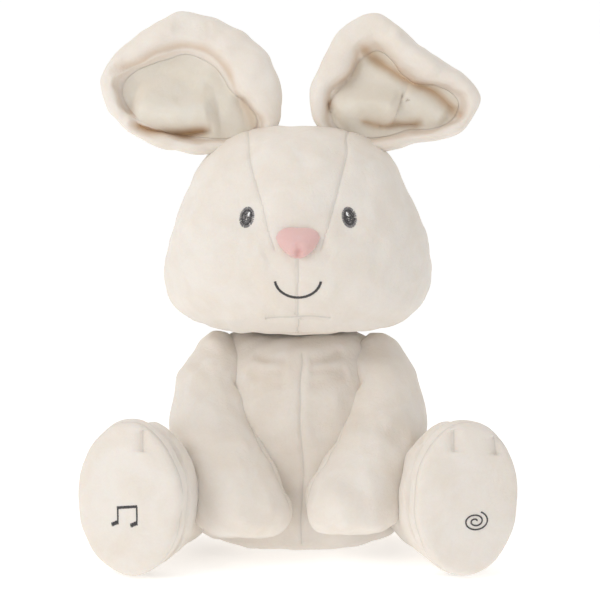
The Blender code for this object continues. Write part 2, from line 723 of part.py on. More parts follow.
def make_face():
    skin = head_form("cut_face", GAP)
    for word, side in SIDES:
        surface = head_front(side * EYE_SPREAD, EYE_HEIGHT)
        eye = ball(
            f"{word}_eye", (side * EYE_SPREAD, surface + 0.0020, EYE_HEIGHT), EYE_SIZE, "thread", 16, 10
        )
        boolean(eye, skin)
    surface = head_front(0, NOSE_HEIGHT)
    half_width, half_height = NOSE_SIZE
    bm = bmesh.new()
    bmesh.ops.create_uvsphere(bm, u_segments=16, v_segments=10, radius=1.0)
    for vert in bm.verts:
        taper = 0.62 + 0.38 * (vert.co.z + 1) / 2
        vert.co = Vector((vert.co.x * half_width * taper, vert.co.y * 0.006, vert.co.z * half_height))
    place = Matrix.Translation((0, surface + 0.0025, NOSE_HEIGHT))
    boolean(add("nose", finish_mesh("nose", bm), "nose", place), skin)
    points = []
    for k in range(11):
        share = k / 5 - 1
        x, z = MOUTH_HALF_WIDTH * share, MOUTH_HEIGHT + MOUTH_RISE * share**2
        points.append((x, head_front(x, z) - THREAD_RADIUS - GAP - 0.0002, z))
    tube("mouth", points, THREAD_RADIUS, "thread", 1)


# Torso and the sound module --------------------------------------------------

def make_torso():
    torso = torso_form("torso_plush", 0.0, "plush")
    flap_front = BODY_BACK + DOOR_THICKNESS + 4 * GAP + TAPE[2] * 2
    carve(torso, box(
        "cut_module", (-BODY_HALF_WIDTH - GAP, BODY_FRONT - GAP, BODY_LOW - GAP),
        (BODY_HALF_WIDTH + GAP, flap_front + 0.001, BODY_HIGH + GAP),
    ))
    carve(torso, box(
        "cut_flap", (-FLAP_HALF_WIDTH - 0.001, flap_front - GAP, FLAP_LOW - 0.001),
        (FLAP_HALF_WIDTH + 0.001, 0.12, FLAP_HIGH + 0.001),
    ))
    half_length, height, thickness = TAPE
    carve(torso, box(
        "cut_tape", (-half_length - GAP, flap_front - 2 * thickness - 4 * GAP, FLAP_LOW - 0.0005),
        (half_length + GAP, flap_front + 0.001, FLAP_LOW + height + 0.0002),
    ))
    carve(torso, rod(
        "cut_post", (0, NECK_Y, BODY_HIGH), (0, NECK_Y, HEAD_BASE + 0.01), NECK_RADIUS + GAP,
    ))
    for word, side in SIDES:
        carve(torso, tube(f"cut_{word}_torso_cable", foot_cable_route(side, 0.06), 0.0020, None, 1))
    low = FLAP_LOW + 0.0002
    backs = {"loop_strip": flap_front - GAP, "hook_strip": flap_front - thickness - 2 * GAP}
    for name, back in backs.items():
        box(name, (-half_length, back - thickness, low), (half_length, back, low + height - 0.0008), "tape")
    flap = box("back_flap", (-FLAP_HALF_WIDTH, flap_front, FLAP_LOW),
               (FLAP_HALF_WIDTH, flap_front + FLAP_THICKNESS, FLAP_HIGH), "plush")
    bevel = flap.modifiers.new("soft edge", "BEVEL")
    bevel.width = 0.0012
    bevel.segments = 2
    tail_y = TORSO_Y + TORSO_HALF_DEPTH + TAIL_PROUD - TAIL_RADIUS
    tail = ball("tail", (0, tail_y, TAIL_RADIUS + 0.0010), (TAIL_RADIUS,) * 3, "plush", 16, 10)
    carve(tail, torso_form("cut_tail", GAP))
    carve(tail, box("trim_tail", (-0.05, 0, FLAP_LOW - 0.0015), (0.05, 0.12, 0.08)))


def module_shell(name, front, back, open_front):
    low, high = (-BODY_HALF_WIDTH, front, BODY_LOW), (BODY_HALF_WIDTH, back, BODY_HIGH)
    shell = box(name, low, high, "shell_plastic")
    inner_front = front - 0.01 if open_front else front + BODY_WALL
    inner_back = back - BODY_WALL if open_front else back + 0.01
    boolean(shell, box(
        f"cut_{name}", (-BODY_HALF_WIDTH + BODY_WALL, inner_front, BODY_LOW + BODY_WALL),
        (BODY_HALF_WIDTH - BODY_WALL, inner_back, BODY_HIGH - BODY_WALL),
    ))
    return shell


def make_module():
    middle = (BODY_LOW + BODY_HIGH) / 2
    front = module_shell("module_front_shell", BODY_FRONT, BODY_SPLIT - GAP, False)
    for row in range(-2, 3):
        z = middle + row * 0.006
        boolean(front, box(f"cut_slot_{row + 2}", (-0.012, BODY_FRONT - 0.01, z - 0.001),
                           (0.012, BODY_FRONT + BODY_WALL + 0.001, z + 0.001)))
    profile = [
        (0, 0), (0.004, 0.0005), (0.015, 0.0035), (SPEAKER_RADIUS, 0.004), (SPEAKER_RADIUS, 0.001),
        (0.011, -0.006), (0.011, -0.011), (0, -0.011),
    ]
    place = Matrix.Translation((0, BODY_FRONT + BODY_WALL + 0.0045, middle)) @ turn_to((0, -1, 0))
    turned("speaker", profile, "cone_paper", place)
    board_y = BODY_SPLIT - 0.0080
    box("circuit_board", (-0.030, board_y, BODY_LOW + 0.004),
        (0.030, board_y + 0.0016, BODY_HIGH - 0.004), "board")
    make_rear_shell()


def make_rear_shell():
    """The rear of the module: a bay for the cells, a screw boss and the switch's slot."""
    low, high = BODY_LOW + BODY_WALL, BODY_HIGH - BODY_WALL
    bay_left = -BODY_HALF_WIDTH + BODY_WALL
    bay_right = bay_left + CELL_LENGTH + 0.0026
    boss_x = bay_right + 0.0032
    slot_left = boss_x + 0.0032
    rear = box("module_rear_shell", (-BODY_HALF_WIDTH, BODY_SPLIT, BODY_LOW),
               (BODY_HALF_WIDTH, BODY_BACK, BODY_HIGH), "shell_plastic")
    floor = BODY_SPLIT + BODY_WALL
    boolean(rear, box("cut_bay", (bay_left, floor, low), (bay_right, BODY_BACK + 0.01, high)))
    middle = (BODY_LOW + BODY_HIGH) / 2
    boolean(rear, box("cut_switch", (slot_left, floor, middle - 0.009),
                      (BODY_HALF_WIDTH - BODY_WALL, BODY_BACK + 0.01, middle + 0.009)))
    door_y = BODY_BACK + GAP
    door = box("battery_door", (-BODY_HALF_WIDTH, door_y, BODY_LOW),
               (slot_left - 0.0006, door_y + DOOR_THICKNESS, BODY_HIGH), "shell_plastic")

    def boss_rod(name, start, radius, sides):
        return rod(name, (boss_x, start, middle), (boss_x, BODY_BACK + 0.01, middle), radius, sides=sides)

    boolean(rear, boss_rod("cut_boss", BODY_BACK - 0.008, SCREW_RADIUS + GAP / 2, 12))
    boolean(door, boss_rod("cut_door", BODY_BACK - 0.01, SCREW_RADIUS + GAP, 16))
    boolean(door, boss_rod("cut_sink", door_y + 0.0008, SCREW_HEAD + GAP, 16))
    make_door_screw((boss_x, door_y + DOOR_THICKNESS - 0.0002, middle))
    make_cells(bay_left, bay_right, floor, low, high)
    knob_x = (slot_left + BODY_HALF_WIDTH - BODY_WALL) / 2
    knob_z = middle - SWITCH_TRAVEL / 2
    box("switch_knob", (knob_x - 0.0022, floor + GAP, knob_z - 0.0030),
        (knob_x + 0.0022, BODY_BACK + 0.0012, knob_z + 0.0030), "button_plastic")


def make_door_screw(head):
    profile = [
        (0, 0), (SCREW_HEAD, 0), (SCREW_HEAD, -0.0007), (SCREW_RADIUS, -0.0007),
        (SCREW_RADIUS, -0.0080), (0, -0.0086),
    ]
    place = Matrix.Translation(head) @ turn_to((0, 1, 0))
    turned("battery_door_screw", profile, "steel", place, 14)


def make_cells(bay_left, bay_right, floor, low, high):
    """The cells, head to tail in turn, and a contact plate at each end of the bay."""
    pitch = (high - low) / CELL_COUNT
    cell_y = floor + GAP + CELL_RADIUS
    cell_x = bay_left + 0.0012
    for k in range(CELL_COUNT):
        way = 1 if k % 2 == 0 else -1
        place = Vector((cell_x + CELL_LENGTH / 2, cell_y, low + pitch * (k + 0.5)))
        half = CELL_LENGTH / 2
        profile = [(0, half), (0.0027, half), (0.0027, half - 0.0012), (CELL_RADIUS, half - 0.0014),
                   (CELL_RADIUS, -half), (0, -half)]
        turned(f"cell_{k + 1}", profile, "cell_jacket", Matrix.Translation(place) @ turn_to((way, 0, 0)), 16)
    for word, x in (("left", bay_right - GAP - 0.0005), ("right", bay_left + GAP)):
        box(f"{word}_contact_plate", (x, cell_y - 0.006, low + 0.001),
            (x + 0.0005, cell_y + 0.006, high - 0.001), "steel")


def make_neck():
    low, high = BODY_HIGH + GAP, CASE_LOW - GAP
    inner = NECK_RADIUS - 0.0015
    profile = [(inner, high), (NECK_RADIUS, high), (NECK_RADIUS, low), (inner, low), (inner, high)]
    turned("neck_tube", profile, "shell_plastic", Matrix.Translation((0, NECK_Y, 0)), 18)
    points = [(0, NECK_Y, low + (high - low) * k / 4) for k in range(5)]
    tube("motor_cable", points, CABLE_RADIUS, "cable")


# Limbs -----------------------------------------------------------------------

def foot_frame(side):
    """Local Z runs out of the sole, local Y is up, and the origin is on its face."""
    turn = math.radians(FOOT_TURN)
    out = Vector((side * math.sin(turn), -math.cos(turn), 0))
    up = Vector((0, 0, 1))
    across = up.cross(out)
    rows = [[across[i], up[i], out[i], (side * FOOT_SPREAD, FOOT_Y, FOOT_Z)[i]] for i in range(3)]
    return Matrix((*rows, (0, 0, 0, 1)))


def foot_cable_route(side, overrun=0.0):
    """A bowed route from the button base to the side of the module, as points."""
    frame = foot_frame(side)
    start = frame @ Vector((0, 0, -(BASE_START + BASE_DEPTH + GAP)))
    bend = frame @ Vector((0, 0, -LEG_LENGTH + 0.010))
    end = Vector((side * (BODY_HALF_WIDTH + 3 * GAP), 0.024, 0.058))
    points = []
    for k in range(9):
        t = -overrun + (1 + 2 * overrun) * k / 8
        points.append(start * (1 - t) ** 2 + bend * 2 * t * (1 - t) + end * t**2)
    return points


def make_arm(word, side):
    arm = arm_form(f"{word}_arm", side, 0.0, "plush")
    torso = torso_form(f"cut_{word}_arm_rest", SOFT_GAP)
    carve(arm, torso)
    for degrees in (ARM_SWING / 4, ARM_SWING / 2, ARM_SWING * 3 / 4, ARM_SWING):
        name = f"cut_{word}_arm_{degrees:.0f}"
        carve(arm, swung(torso, name, SHOULDER, (1, 0, 0), degrees))


def make_leg(word, side):
    frame = foot_frame(side)
    across, up, out = (Vector((1, 0, 0)), Vector((0, 1, 0)), Vector((0, 0, 1)))
    wide, high = FOOT_HALF_WIDTH, FOOT_HALF_HEIGHT
    stations = (
        # distance behind the sole's face, half width, half height
        (LEG_FRONT, wide * 0.95, high * 0.95),
        (LEG_FRONT + 0.008, wide, high),
        (0.040, wide * 0.95, high * 0.92),
        (0.070, wide * 0.82, high * 0.70),
        (LEG_LENGTH, wide * 0.68, high * 0.52),
    )
    rings = []
    for back, half_width, half_height in blend_stations(stations, 2):
        drop = -(high - half_height)
        rings.append((-out * back + up * drop, across, up, half_width, half_height))
    leg = loft(f"{word}_leg", rings, 20, 2.2, "plush", frame)
    carve(leg, torso_form(f"cut_{word}_leg_torso", SOFT_GAP))
    shape = arm_form(f"cut_{word}_leg_arm_rest", side, 1.5 * SOFT_GAP)
    carve(leg, shape)
    for share in (0.15, 0.30, 0.45, 0.60):
        name = f"cut_{word}_leg_arm_{share:.2f}"
        carve(leg, swung(shape, name, SHOULDER, (1, 0, 0), -ARM_SWING * share))
    pocket = rod(
        f"cut_{word}_pocket", frame @ Vector((0, 0, -(LEG_FRONT - 0.002))),
        frame @ Vector((0, 0, -(BASE_START + BASE_DEPTH + GAP))), BASE_RADIUS + GAP,
    )
    carve(leg, pocket)
    carve(leg, tube(f"cut_{word}_leg_cable", foot_cable_route(side, 0.06), 0.0020, None, 1))
    tube(f"{word}_foot_cable", foot_cable_route(side), CABLE_RADIUS, "cable", 1)


def make_foot_button(word, side):
    frame = foot_frame(side)
    sole_rings = []
    for back, share in ((0.0, SOLE_FACE), (0.0015, 0.98), (0.0030, 1.0), (SOLE_THICKNESS, 1.0)):
        sole_rings.append((
            Vector((0, 0, -back)), Vector((1, 0, 0)), Vector((0, 1, 0)),
            FOOT_HALF_WIDTH * share, FOOT_HALF_HEIGHT * share,
        ))
    loft(f"{word}_sole", sole_rings, 20, 2.2, "plush", frame)
    floor = -(BASE_START + BASE_DEPTH)
    inner = BASE_RADIUS - 0.0015
    base_profile = [
        (0, floor + 0.0015), (inner, floor + 0.0015), (inner, -BASE_START),
        (BASE_RADIUS, -BASE_START), (BASE_RADIUS, floor), (0, floor),
    ]
    turned(f"{word}_button_base", base_profile, "button_plastic", frame)
    cap_front, cap_back = -(SOLE_THICKNESS + GAP), -(BASE_START + 0.0045)
    cap_profile = [
        (0, cap_front), (CAP_RADIUS - 0.0006, cap_front), (CAP_RADIUS, cap_front - 0.0006),
        (CAP_RADIUS, cap_back), (0, cap_back),
    ]
    turned(f"{word}_button_cap", cap_profile, "button_plastic", frame)
    low, high = floor + 0.0015 + GAP + SPRING_WIRE, cap_back - GAP - SPRING_WIRE
    points = []
    count = SPRING_TURNS * SPRING_SIDES
    for k in range(count + 1):
        angle = 2 * math.pi * k / SPRING_SIDES
        x, y = SPRING_RADIUS * math.cos(angle), SPRING_RADIUS * math.sin(angle)
        points.append(frame @ Vector((x, y, low + (high - low) * k / count)))
    tube(f"{word}_button_spring", points, SPRING_WIRE, "steel", 0)


def main():
    make_head()
    for word, side in SIDES:
        half_case(word, side)
        make_ear_lever(word, side)
        make_ear(word, side)
    make_gearbox_screws()
    make_drive()
    make_face()
    make_torso()
    make_module()
    make_neck()
    for word, side in SIDES:
        make_arm(word, side)
        make_leg(word, side)
        make_foot_button(word, side)


clear_scene()
PARTS = collection("plush rabbit")
CUTTERS = collection("cutters")
main()
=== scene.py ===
"""A plush rabbit that sings and swings its ears, laid out as a Blender add-on.

The frame holds the mechanism and the sizes. The operators below sew the fabric around it,
embroider the face and the soles, finish the moulded and metal parts, and set a plain stage.
Metres, +Z up; the rabbit faces -Y, and its own left side is +X.
"""

import json
import math

import bmesh
import bpy
import numpy as np
from bpy.props import FloatProperty, FloatVectorProperty, PointerProperty
from mathutils import Matrix, Vector
from mathutils.bvhtree import BVHTree


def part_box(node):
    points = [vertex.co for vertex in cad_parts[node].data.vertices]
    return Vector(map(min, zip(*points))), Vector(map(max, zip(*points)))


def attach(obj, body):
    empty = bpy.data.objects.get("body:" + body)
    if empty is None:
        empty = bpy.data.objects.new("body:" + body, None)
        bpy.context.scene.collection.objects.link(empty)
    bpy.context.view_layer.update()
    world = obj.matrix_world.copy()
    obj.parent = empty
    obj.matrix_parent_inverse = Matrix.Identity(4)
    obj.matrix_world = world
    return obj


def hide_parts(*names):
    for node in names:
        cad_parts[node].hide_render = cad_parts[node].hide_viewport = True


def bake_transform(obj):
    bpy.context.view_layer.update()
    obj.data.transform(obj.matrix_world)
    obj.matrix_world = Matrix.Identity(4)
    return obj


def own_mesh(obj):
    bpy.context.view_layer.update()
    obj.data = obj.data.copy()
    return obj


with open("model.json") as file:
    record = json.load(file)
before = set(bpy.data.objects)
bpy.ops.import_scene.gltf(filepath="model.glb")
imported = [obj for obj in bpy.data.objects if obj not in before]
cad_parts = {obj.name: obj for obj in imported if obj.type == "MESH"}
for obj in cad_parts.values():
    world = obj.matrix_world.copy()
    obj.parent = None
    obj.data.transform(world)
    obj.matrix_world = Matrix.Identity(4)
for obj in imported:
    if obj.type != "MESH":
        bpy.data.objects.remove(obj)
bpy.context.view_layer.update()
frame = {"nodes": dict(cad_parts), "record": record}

bl_info = {
    "name": "Plush Rabbit",
    "version": (1, 0, 0),
    "blender": (4, 5, 0),
    "location": "View3D > Sidebar > Rabbit",
    "description": "Sews, embroiders and stages a plush rabbit around its mechanism",
    "category": "Add Mesh",
}

SIDES = (("left", 1), ("right", -1))


# Sizes and colours that a user would change -----------------------------------


def colour(name, description, default):
    return FloatVectorProperty(
        name=name, description=description, default=default, size=3, min=0, max=1, subtype="COLOR"
    )


def length(name, description, default):
    return FloatProperty(
        name=name, description=description, default=default, min=0, unit="LENGTH", precision=4
    )


class RabbitColours(bpy.types.PropertyGroup):
    """The colours of the fabrics and threads, and of the painted shade in folds and hollows, as linear
    values.
    """

    plush: colour("Plush", "Lit colour of the velour", (0.815, 0.770, 0.722))
    # painted shade: the warm dark colour blended into the velour where folds and hollows are marked
    painted_shade: colour("Painted Shade", "Colour deep in a fold of the velour", (0.56, 0.37, 0.22))
    nose: colour("Nose", "Pink plush of the nose", (0.77, 0.525, 0.515))
    thread: colour("Thread", "Embroidery thread", (0.045, 0.042, 0.044))
    iris: colour("Iris", "Greyer thread around the eye", (0.155, 0.150, 0.155))
    glint: colour("Glint", "White thread in the eye", (0.86, 0.86, 0.88))


class RabbitFabric(bpy.types.PropertyGroup):
    """How the fabric is cut and filled."""

    weave: length("Weave", "Edge length of the skin before it is filled", 0.0045)
    swell: length("Swell", "Most that the filling may push the skin out", 0.0030)
    pressure: FloatProperty(
        name="Pressure", description="Pressure of the filling in the cloth", default=4.0, min=0
    )
    seam_width: length("Seam width", "Width of a sewn line", 0.0007)
    seam_depth: length("Seam depth", "Depth that a seam pulls the skin in", 0.0007)
    thread_radius: length("Thread radius", "Radius of one embroidery thread", 0.00022)


class RabbitStage(bpy.types.PropertyGroup):
    """Camera and lights."""

    distance: length("Distance", "Distance from the camera to its aim", 0.85)
    aim_height: length("Aim height", "Height that the camera looks at", 0.140)
    aim_side: FloatProperty(
        name="Aim side", description="How far left of the middle it looks", default=0.0011,
        unit="LENGTH", precision=4,
    )
    elevation: FloatProperty(
        name="Elevation", description="Angle of the camera above level",
        default=math.radians(4.5), subtype="ANGLE",
    )
    lens: FloatProperty(name="Lens", description="Focal length in millimetres", default=89.5, min=1)
    key: FloatProperty(name="Key light", description="Power of the key light", default=6.6, unit="POWER")
    fill: FloatProperty(name="Fill", description="Brightness of the surroundings", default=0.57, min=0)


# Modelling helpers ------------------------------------------------------------


def deselect():
    if bpy.context.object and bpy.context.object.mode != "OBJECT":
        bpy.ops.object.mode_set(mode="OBJECT")
    bpy.ops.object.select_all(action="DESELECT")


def activate(obj):
    deselect()
    obj.select_set(True)
    bpy.context.view_layer.objects.active = obj


def rename(obj, name):
    obj.name = name
    obj.data.name = name
    return obj


def modify(obj, kind, **settings):
    """Adds a modifier with these settings and applies it."""
    activate(obj)
    modifier = obj.modifiers.new(kind.lower(), kind)
    for key, value in settings.items():
        setattr(modifier, key, value)
    bpy.ops.object.modifier_apply(modifier=modifier.name)


def subdivide(obj, levels):
    modify(obj, "SUBSURF", levels=levels, render_levels=levels)


def read_points(obj):
    points = np.zeros(len(obj.data.vertices) * 3)
    obj.data.vertices.foreach_get("co", points)
    return points.reshape(-1, 3)


def read_normals(obj):
    normals = np.zeros(len(obj.data.vertices) * 3)
    obj.data.vertices.foreach_get("normal", normals)
    return normals.reshape(-1, 3)


def write_points(obj, points):
    obj.data.vertices.foreach_set("co", np.asarray(points, float).ravel())
    obj.data.update()


def mark(obj, name, values):
    """Stores a value at each point of the skin for the materials to read."""
    layer = obj.data.attributes.get(name) or obj.data.attributes.new(name, "FLOAT", "POINT")
    layer.data.foreach_set("value", np.asarray(values, np.float32))


def marked(obj, name, default=0.0):
    layer = obj.data.attributes.get(name)
    values = np.full(len(obj.data.vertices), default, np.float32)
    if layer:
        layer.data.foreach_get("value", values)
    return values


def curve_through(rows, steps, closed=False):
    """Reads a smooth curve through rows of numbers, steps points to each span."""
    rows = np.asarray(rows, float)
    count = len(rows)
    out = []
    for i in range(count if closed else count - 1):
        if closed:
            p, q, r, s = (rows[(i + k) % count] for k in (-1, 0, 1, 2))
        else:
            p, q = rows[max(i - 1, 0)], rows[i]
            r, s = rows[i + 1], rows[min(i + 2, count - 1)]
        for t in np.arange(steps) / steps:
            out.append(0.5 * (2 * q + (r - p) * t + (2 * p - 5 * q + 4 * r - s) * t**2
                              + (3 * q - p - 3 * r + s) * t**3))
    if not closed:
        out.append(rows[-1])
    return np.array(out)


def raised(name, rings, sides=32):
    """A closed skin raised from a disc: rows of height, half width, half depth and middle y."""
    deselect()
    height, wide, deep, middle = rings[0]
    bpy.ops.mesh.primitive_circle_add(vertices=sides, radius=1, fill_type="NGON")
    obj = rename(bpy.context.object, name)
    bpy.ops.object.mode_set(mode="EDIT")
    bpy.ops.mesh.select_all(action="SELECT")
    bpy.ops.transform.resize(value=(wide, deep, 1), center_override=(0, 0, 0))
    bpy.ops.transform.translate(value=(0, middle, height))
    for next_height, next_wide, next_deep, next_middle in rings[1:]:
        bpy.ops.mesh.extrude_region_move(TRANSFORM_OT_translate={
            "value": (0, next_middle - middle, next_height - height),
        })
        bpy.ops.transform.resize(
            value=(next_wide / wide, next_deep / deep, 1), center_override=(0, next_middle, next_height)
        )
        height, wide, deep, middle = next_height, next_wide, next_deep, next_middle
    bpy.ops.mesh.select_all(action="SELECT")
    bpy.ops.mesh.normals_make_consistent(inside=False)
    bpy.ops.object.mode_set(mode="OBJECT")
    return obj


def sausage(name, rows, sides=12):
    """A closed tube along rows of x, y, z and radius, made a mesh."""
    deselect()
    data = bpy.data.curves.new(name, "CURVE")
    data.dimensions = "3D"
    data.bevel_depth = 1.0
    data.bevel_resolution = sides // 4
    data.use_fill_caps = True
    spline = data.splines.new("POLY")
    spline.points.add(len(rows) - 1)
    for point, (x, y, z, radius) in zip(spline.points, rows):
        point.co = (x, y, z, 1)
        point.radius = radius
    obj = bpy.data.objects.new(name, data)
    bpy.context.scene.collection.objects.link(obj)
    activate(obj)
    bpy.ops.object.convert(target="MESH")
    return rename(bpy.context.object, name)


def swell(obj, held, pressure, limit):
    """Lets the skin fill out as cloth under pressure, except where a seam holds it."""
    rest = read_points(obj)
    group = obj.vertex_groups.new(name="seams")
    group.add([int(i) for i in np.nonzero(held)[0]], 1.0, "REPLACE")
    activate(obj)
    cloth = obj.modifiers.new("filling", "CLOTH")
    cloth.settings.quality = 4
    cloth.settings.mass = 0.3
    cloth.settings.use_pressure = True
    cloth.settings.uniform_pressure_force = pressure
    cloth.settings.vertex_group_mass = group.name
    cloth.settings.effector_weights.gravity = 0
    cloth.collision_settings.use_collision = False
    cloth.point_cache.frame_start = 1
    cloth.point_cache.frame_end = 20
    for number in range(1, 21):
        bpy.context.scene.frame_set(number)
    bpy.ops.object.modifier_apply(modifier=cloth.name)
    bpy.context.scene.frame_set(1)
    obj.vertex_groups.clear()
    moves = read_points(obj) - rest
    reach = np.linalg.norm(moves, axis=1, keepdims=True)
    write_points(obj, rest + moves * np.minimum(1, limit / np.maximum(reach, 1e-9)))


def stuffed(obj, weave, lines=(), floor=None, levels=2, smooth=8, limit=None, pressure=None):
    """Remeshes a closed skin evenly, fills it as cloth between its seams, and smooths it."""
    fabric = bpy.context.scene.rabbit_fabric
    modify(obj, "REMESH", mode="VOXEL", voxel_size=weave)
    modify(obj, "SMOOTH", factor=0.5, iterations=smooth)
    points = read_points(obj)
    held = np.zeros(len(points), bool)
    for line in lines:
        held |= near(points, line)[0] < weave * 0.6
    if floor is not None:
        held |= points[:, 2] < floor
    swell(obj, held, pressure or fabric.pressure, limit or fabric.swell)
    modify(obj, "SMOOTH", factor=0.5, iterations=2)
    subdivide(obj, levels)


def near(points, line):
    """For each point: its distance to a line of points, the side it is on, and the way along."""
    line = np.asarray(line, float)
    best = np.full(len(points), np.inf)
    offset = np.zeros((len(points), 3))
    tangent = np.zeros((len(points), 3))
    share = np.zeros(len(points))
    for i, (a, b) in enumerate(zip(line, line[1:])):
        step = b - a
        t = np.clip((points - a) @ step / max(step @ step, 1e-12), 0, 1)
        away = points - (a + t[:, None] * step)
        distance = np.linalg.norm(away, axis=1)
        closer = distance < best
        best[closer] = distance[closer]
        offset[closer] = away[closer]
        tangent[closer] = step
        share[closer] = (i + t[closer]) / (len(line) - 1)
    return best, offset, tangent, share


def snapped(tree, line, step=0.002):
    """The line with a point every step, each moved to the nearest place on the skin, and evened out."""
    line = np.asarray(line, float)
    out = []
    for a, b in zip(line, line[1:]):
        count = max(1, int(np.linalg.norm(b - a) / step))
        out += [a + (b - a) * i / count for i in range(count)]
    out.append(line[-1])
    out = np.array([tree.find_nearest(Vector(place))[0] for place in out])
    for _ in range(6):
        out[1:-1] = 0.25 * out[:-2] + 0.5 * out[1:-1] + 0.25 * out[2:]
    return out


def press(obj, line, width, depth, sharp=2.0, painted_shade=0.0, direction=None, facing=None, ends=0.12):
    """Pushes the skin in (or out, at a negative depth) along a line, less at the line's ends, and can mark
    painted shade along it.
    """
    line = snapped(skin_of(obj), line)
    points, normals = read_points(obj), read_normals(obj)
    distance, _, _, share = near(points, line)
    weight = np.exp(-((distance / width) ** sharp))
    if ends:
        weight *= np.clip(np.minimum(share, 1 - share) / ends, 0, 1) ** 0.7
    if facing is not None:
        weight *= np.clip(normals @ np.asarray(facing, float) * 2.5 + 0.3, 0, 1)
    way = normals if direction is None else -np.asarray(direction, float)[None, :]
    write_points(obj, points - way * (depth * weight)[:, None])
    # painted shade laid along the pressed line, for the velour to darken
    if painted_shade:
        mark(obj, "painted_shade", np.maximum(marked(obj, "painted_shade"), painted_shade * weight))


def seam(obj, lines):
    """Sews lines into the skin: a shallow groove, and a signed distance for the stitched line."""
    fabric = bpy.context.scene.rabbit_fabric
    tree = skin_of(obj)
    points, normals = read_points(obj), read_normals(obj)
    signed = marked(obj, "seam", 1.0)
    pull = marked(obj, "sewn", 0.0)
    for line in lines:
        distance, offset, tangent, share = near(points, snapped(tree, line))
        side = np.einsum("ij,ij->i", np.cross(tangent, normals), offset)
        here = np.where(side < 0, -distance, distance)
        closer = distance < np.abs(signed)
        signed[closer] = here[closer]
        fade = np.clip(np.minimum(share, 1 - share) / 0.04, 0, 1)
        pull = np.maximum(pull, np.exp(-((distance / 0.0022) ** 1.5)) * fade)
    mark(obj, "seam", signed)
    mark(obj, "sewn", pull)
    write_points(obj, points - normals * (fabric.seam_depth * pull)[:, None])


def lumpy(obj, height, size, seed):
    """Moves the skin gently, as filling packed by hand does."""
    points, normals = read_points(obj), read_normals(obj)
    generator = np.random.default_rng(seed)
    total = np.zeros(len(points))
    for _ in range(14):
        way = generator.normal(size=3)
        way /= np.linalg.norm(way)
        turns = 2 * math.pi / (size * generator.uniform(0.7, 1.9))
        total += np.sin(points @ way * turns + generator.uniform(0, 2 * math.pi))
    write_points(obj, points + normals * (height * total / 3.7)[:, None])


def rest_on_floor(obj, low):
    """Flattens what would reach under the floor."""
    points = read_points(obj)
    points[:, 2] = np.maximum(points[:, 2], low)
    write_points(obj, points)


def paint_hollow_shade(obj, reach, strength):
    """Marks painted shade where the skin faces more of itself, which the velour tints warm and dark."""
    points, normals = read_points(obj), read_normals(obj)
    tree = BVHTree.FromPolygons(
        [Vector(p) for p in points], [tuple(face.vertices) for face in obj.data.polygons]
    )
    generator = np.random.default_rng(7)
    ways = generator.normal(size=(8, 3))
    ways /= np.linalg.norm(ways, axis=1, keepdims=True)
    hits = np.zeros(len(points), np.float32)
    for i, (point, normal) in enumerate(zip(points, normals)):
        start = Vector(point + normal * 0.0008)
        for way in ways:
            ray = way + normal * 1.1
            found = tree.ray_cast(start, Vector(ray), reach)
            if found[0] is not None:
                hits[i] += 1 - found[3] / reach
    mark(obj, "painted_shade", np.maximum(marked(obj, "painted_shade"), np.clip(hits / len(ways) * strength, 0, 1)))


def skin_of(obj):
    """A tree of the piece's surface, for laying threads on it."""
    depsgraph = bpy.context.evaluated_depsgraph_get()
    return BVHTree.FromObject(obj, depsgraph)


def lay_on(tree, start, way):
    """The point and normal that a ray from start meets on the skin."""
    point, normal, _, _ = tree.ray_cast(Vector(start), Vector(way))
    if point is None:
        raise RuntimeError(f"nothing to sew on in front of {tuple(start)}")
    return point, normal


def threads(name, strands, radius, material):
    """One mesh of many short strands of thread."""
    deselect()
    data = bpy.data.curves.new(name, "CURVE")
    data.dimensions = "3D"
    data.bevel_depth = radius
    data.bevel_resolution = 1
    data.use_fill_caps = True
    for strand in strands:
        spline = data.splines.new("POLY")
        spline.points.add(len(strand) - 1)
        for point, place in zip(spline.points, strand):
            point.co = (*place, 1)
    obj = bpy.data.objects.new(name, data)
    bpy.context.scene.collection.objects.link(obj)
    activate(obj)
    bpy.ops.object.convert(target="MESH")
    obj = rename(bpy.context.object, name)
    modify(obj, "WELD", merge_threshold=0.000002)
    finish(obj, material)
    return obj


def finish(obj, material, angle=60):
    activate(obj)
    bpy.ops.object.shade_smooth_by_angle(angle=math.radians(angle))
    obj.data.materials.clear()
    obj.data.materials.append(material)


def join(name, objects):
    activate(objects[0])
    for obj in objects[1:]:
        obj.select_set(True)
    bpy.ops.object.join()
    return rename(bpy.context.object, name)


def place_mesh(obj, matrix):
    obj.data.transform(matrix)
    obj.data.update()


# Materials --------------------------------------------------------------------


def put(tree, kind, links=None, **settings):
    """Adds a node. Each input is given a value, or another node's output."""
    node = tree.nodes.new(kind)
    for key, value in settings.items():
        setattr(node, key, value)
    for key, value in (links or {}).items():
        if isinstance(value, bpy.types.NodeSocket):
            tree.links.new(value, node.inputs[key])
        else:
            node.inputs[key].default_value = value
    return node


def maths(tree, operation, a, b=0.0, c=0.0):
    node = put(tree, "ShaderNodeMath", operation=operation)
    for socket, value in zip(node.inputs, (a, b, c)):
        if isinstance(value, bpy.types.NodeSocket):
            tree.links.new(value, socket)
        else:
            socket.default_value = value
    return node.outputs[0]


def blend_colour(tree, factor, a, b, kind="MIX"):
    node = put(tree, "ShaderNodeMix", data_type="RGBA", blend_type=kind)
    for socket, value in zip((node.inputs[0], node.inputs[6], node.inputs[7]), (factor, a, b)):
        if isinstance(value, bpy.types.NodeSocket):
            tree.links.new(value, socket)
        else:
            socket.default_value = value
    return node.outputs[2]


def ramp(tree, value, low, high, to_low=0.0, to_high=1.0, smooth=True):
    node = put(tree, "ShaderNodeMapRange", {
        "Value": value, "From Min": low, "From Max": high, "To Min": to_low, "To Max": to_high,
    }, interpolation_type="SMOOTHSTEP" if smooth else "LINEAR")
    return node.outputs[0]


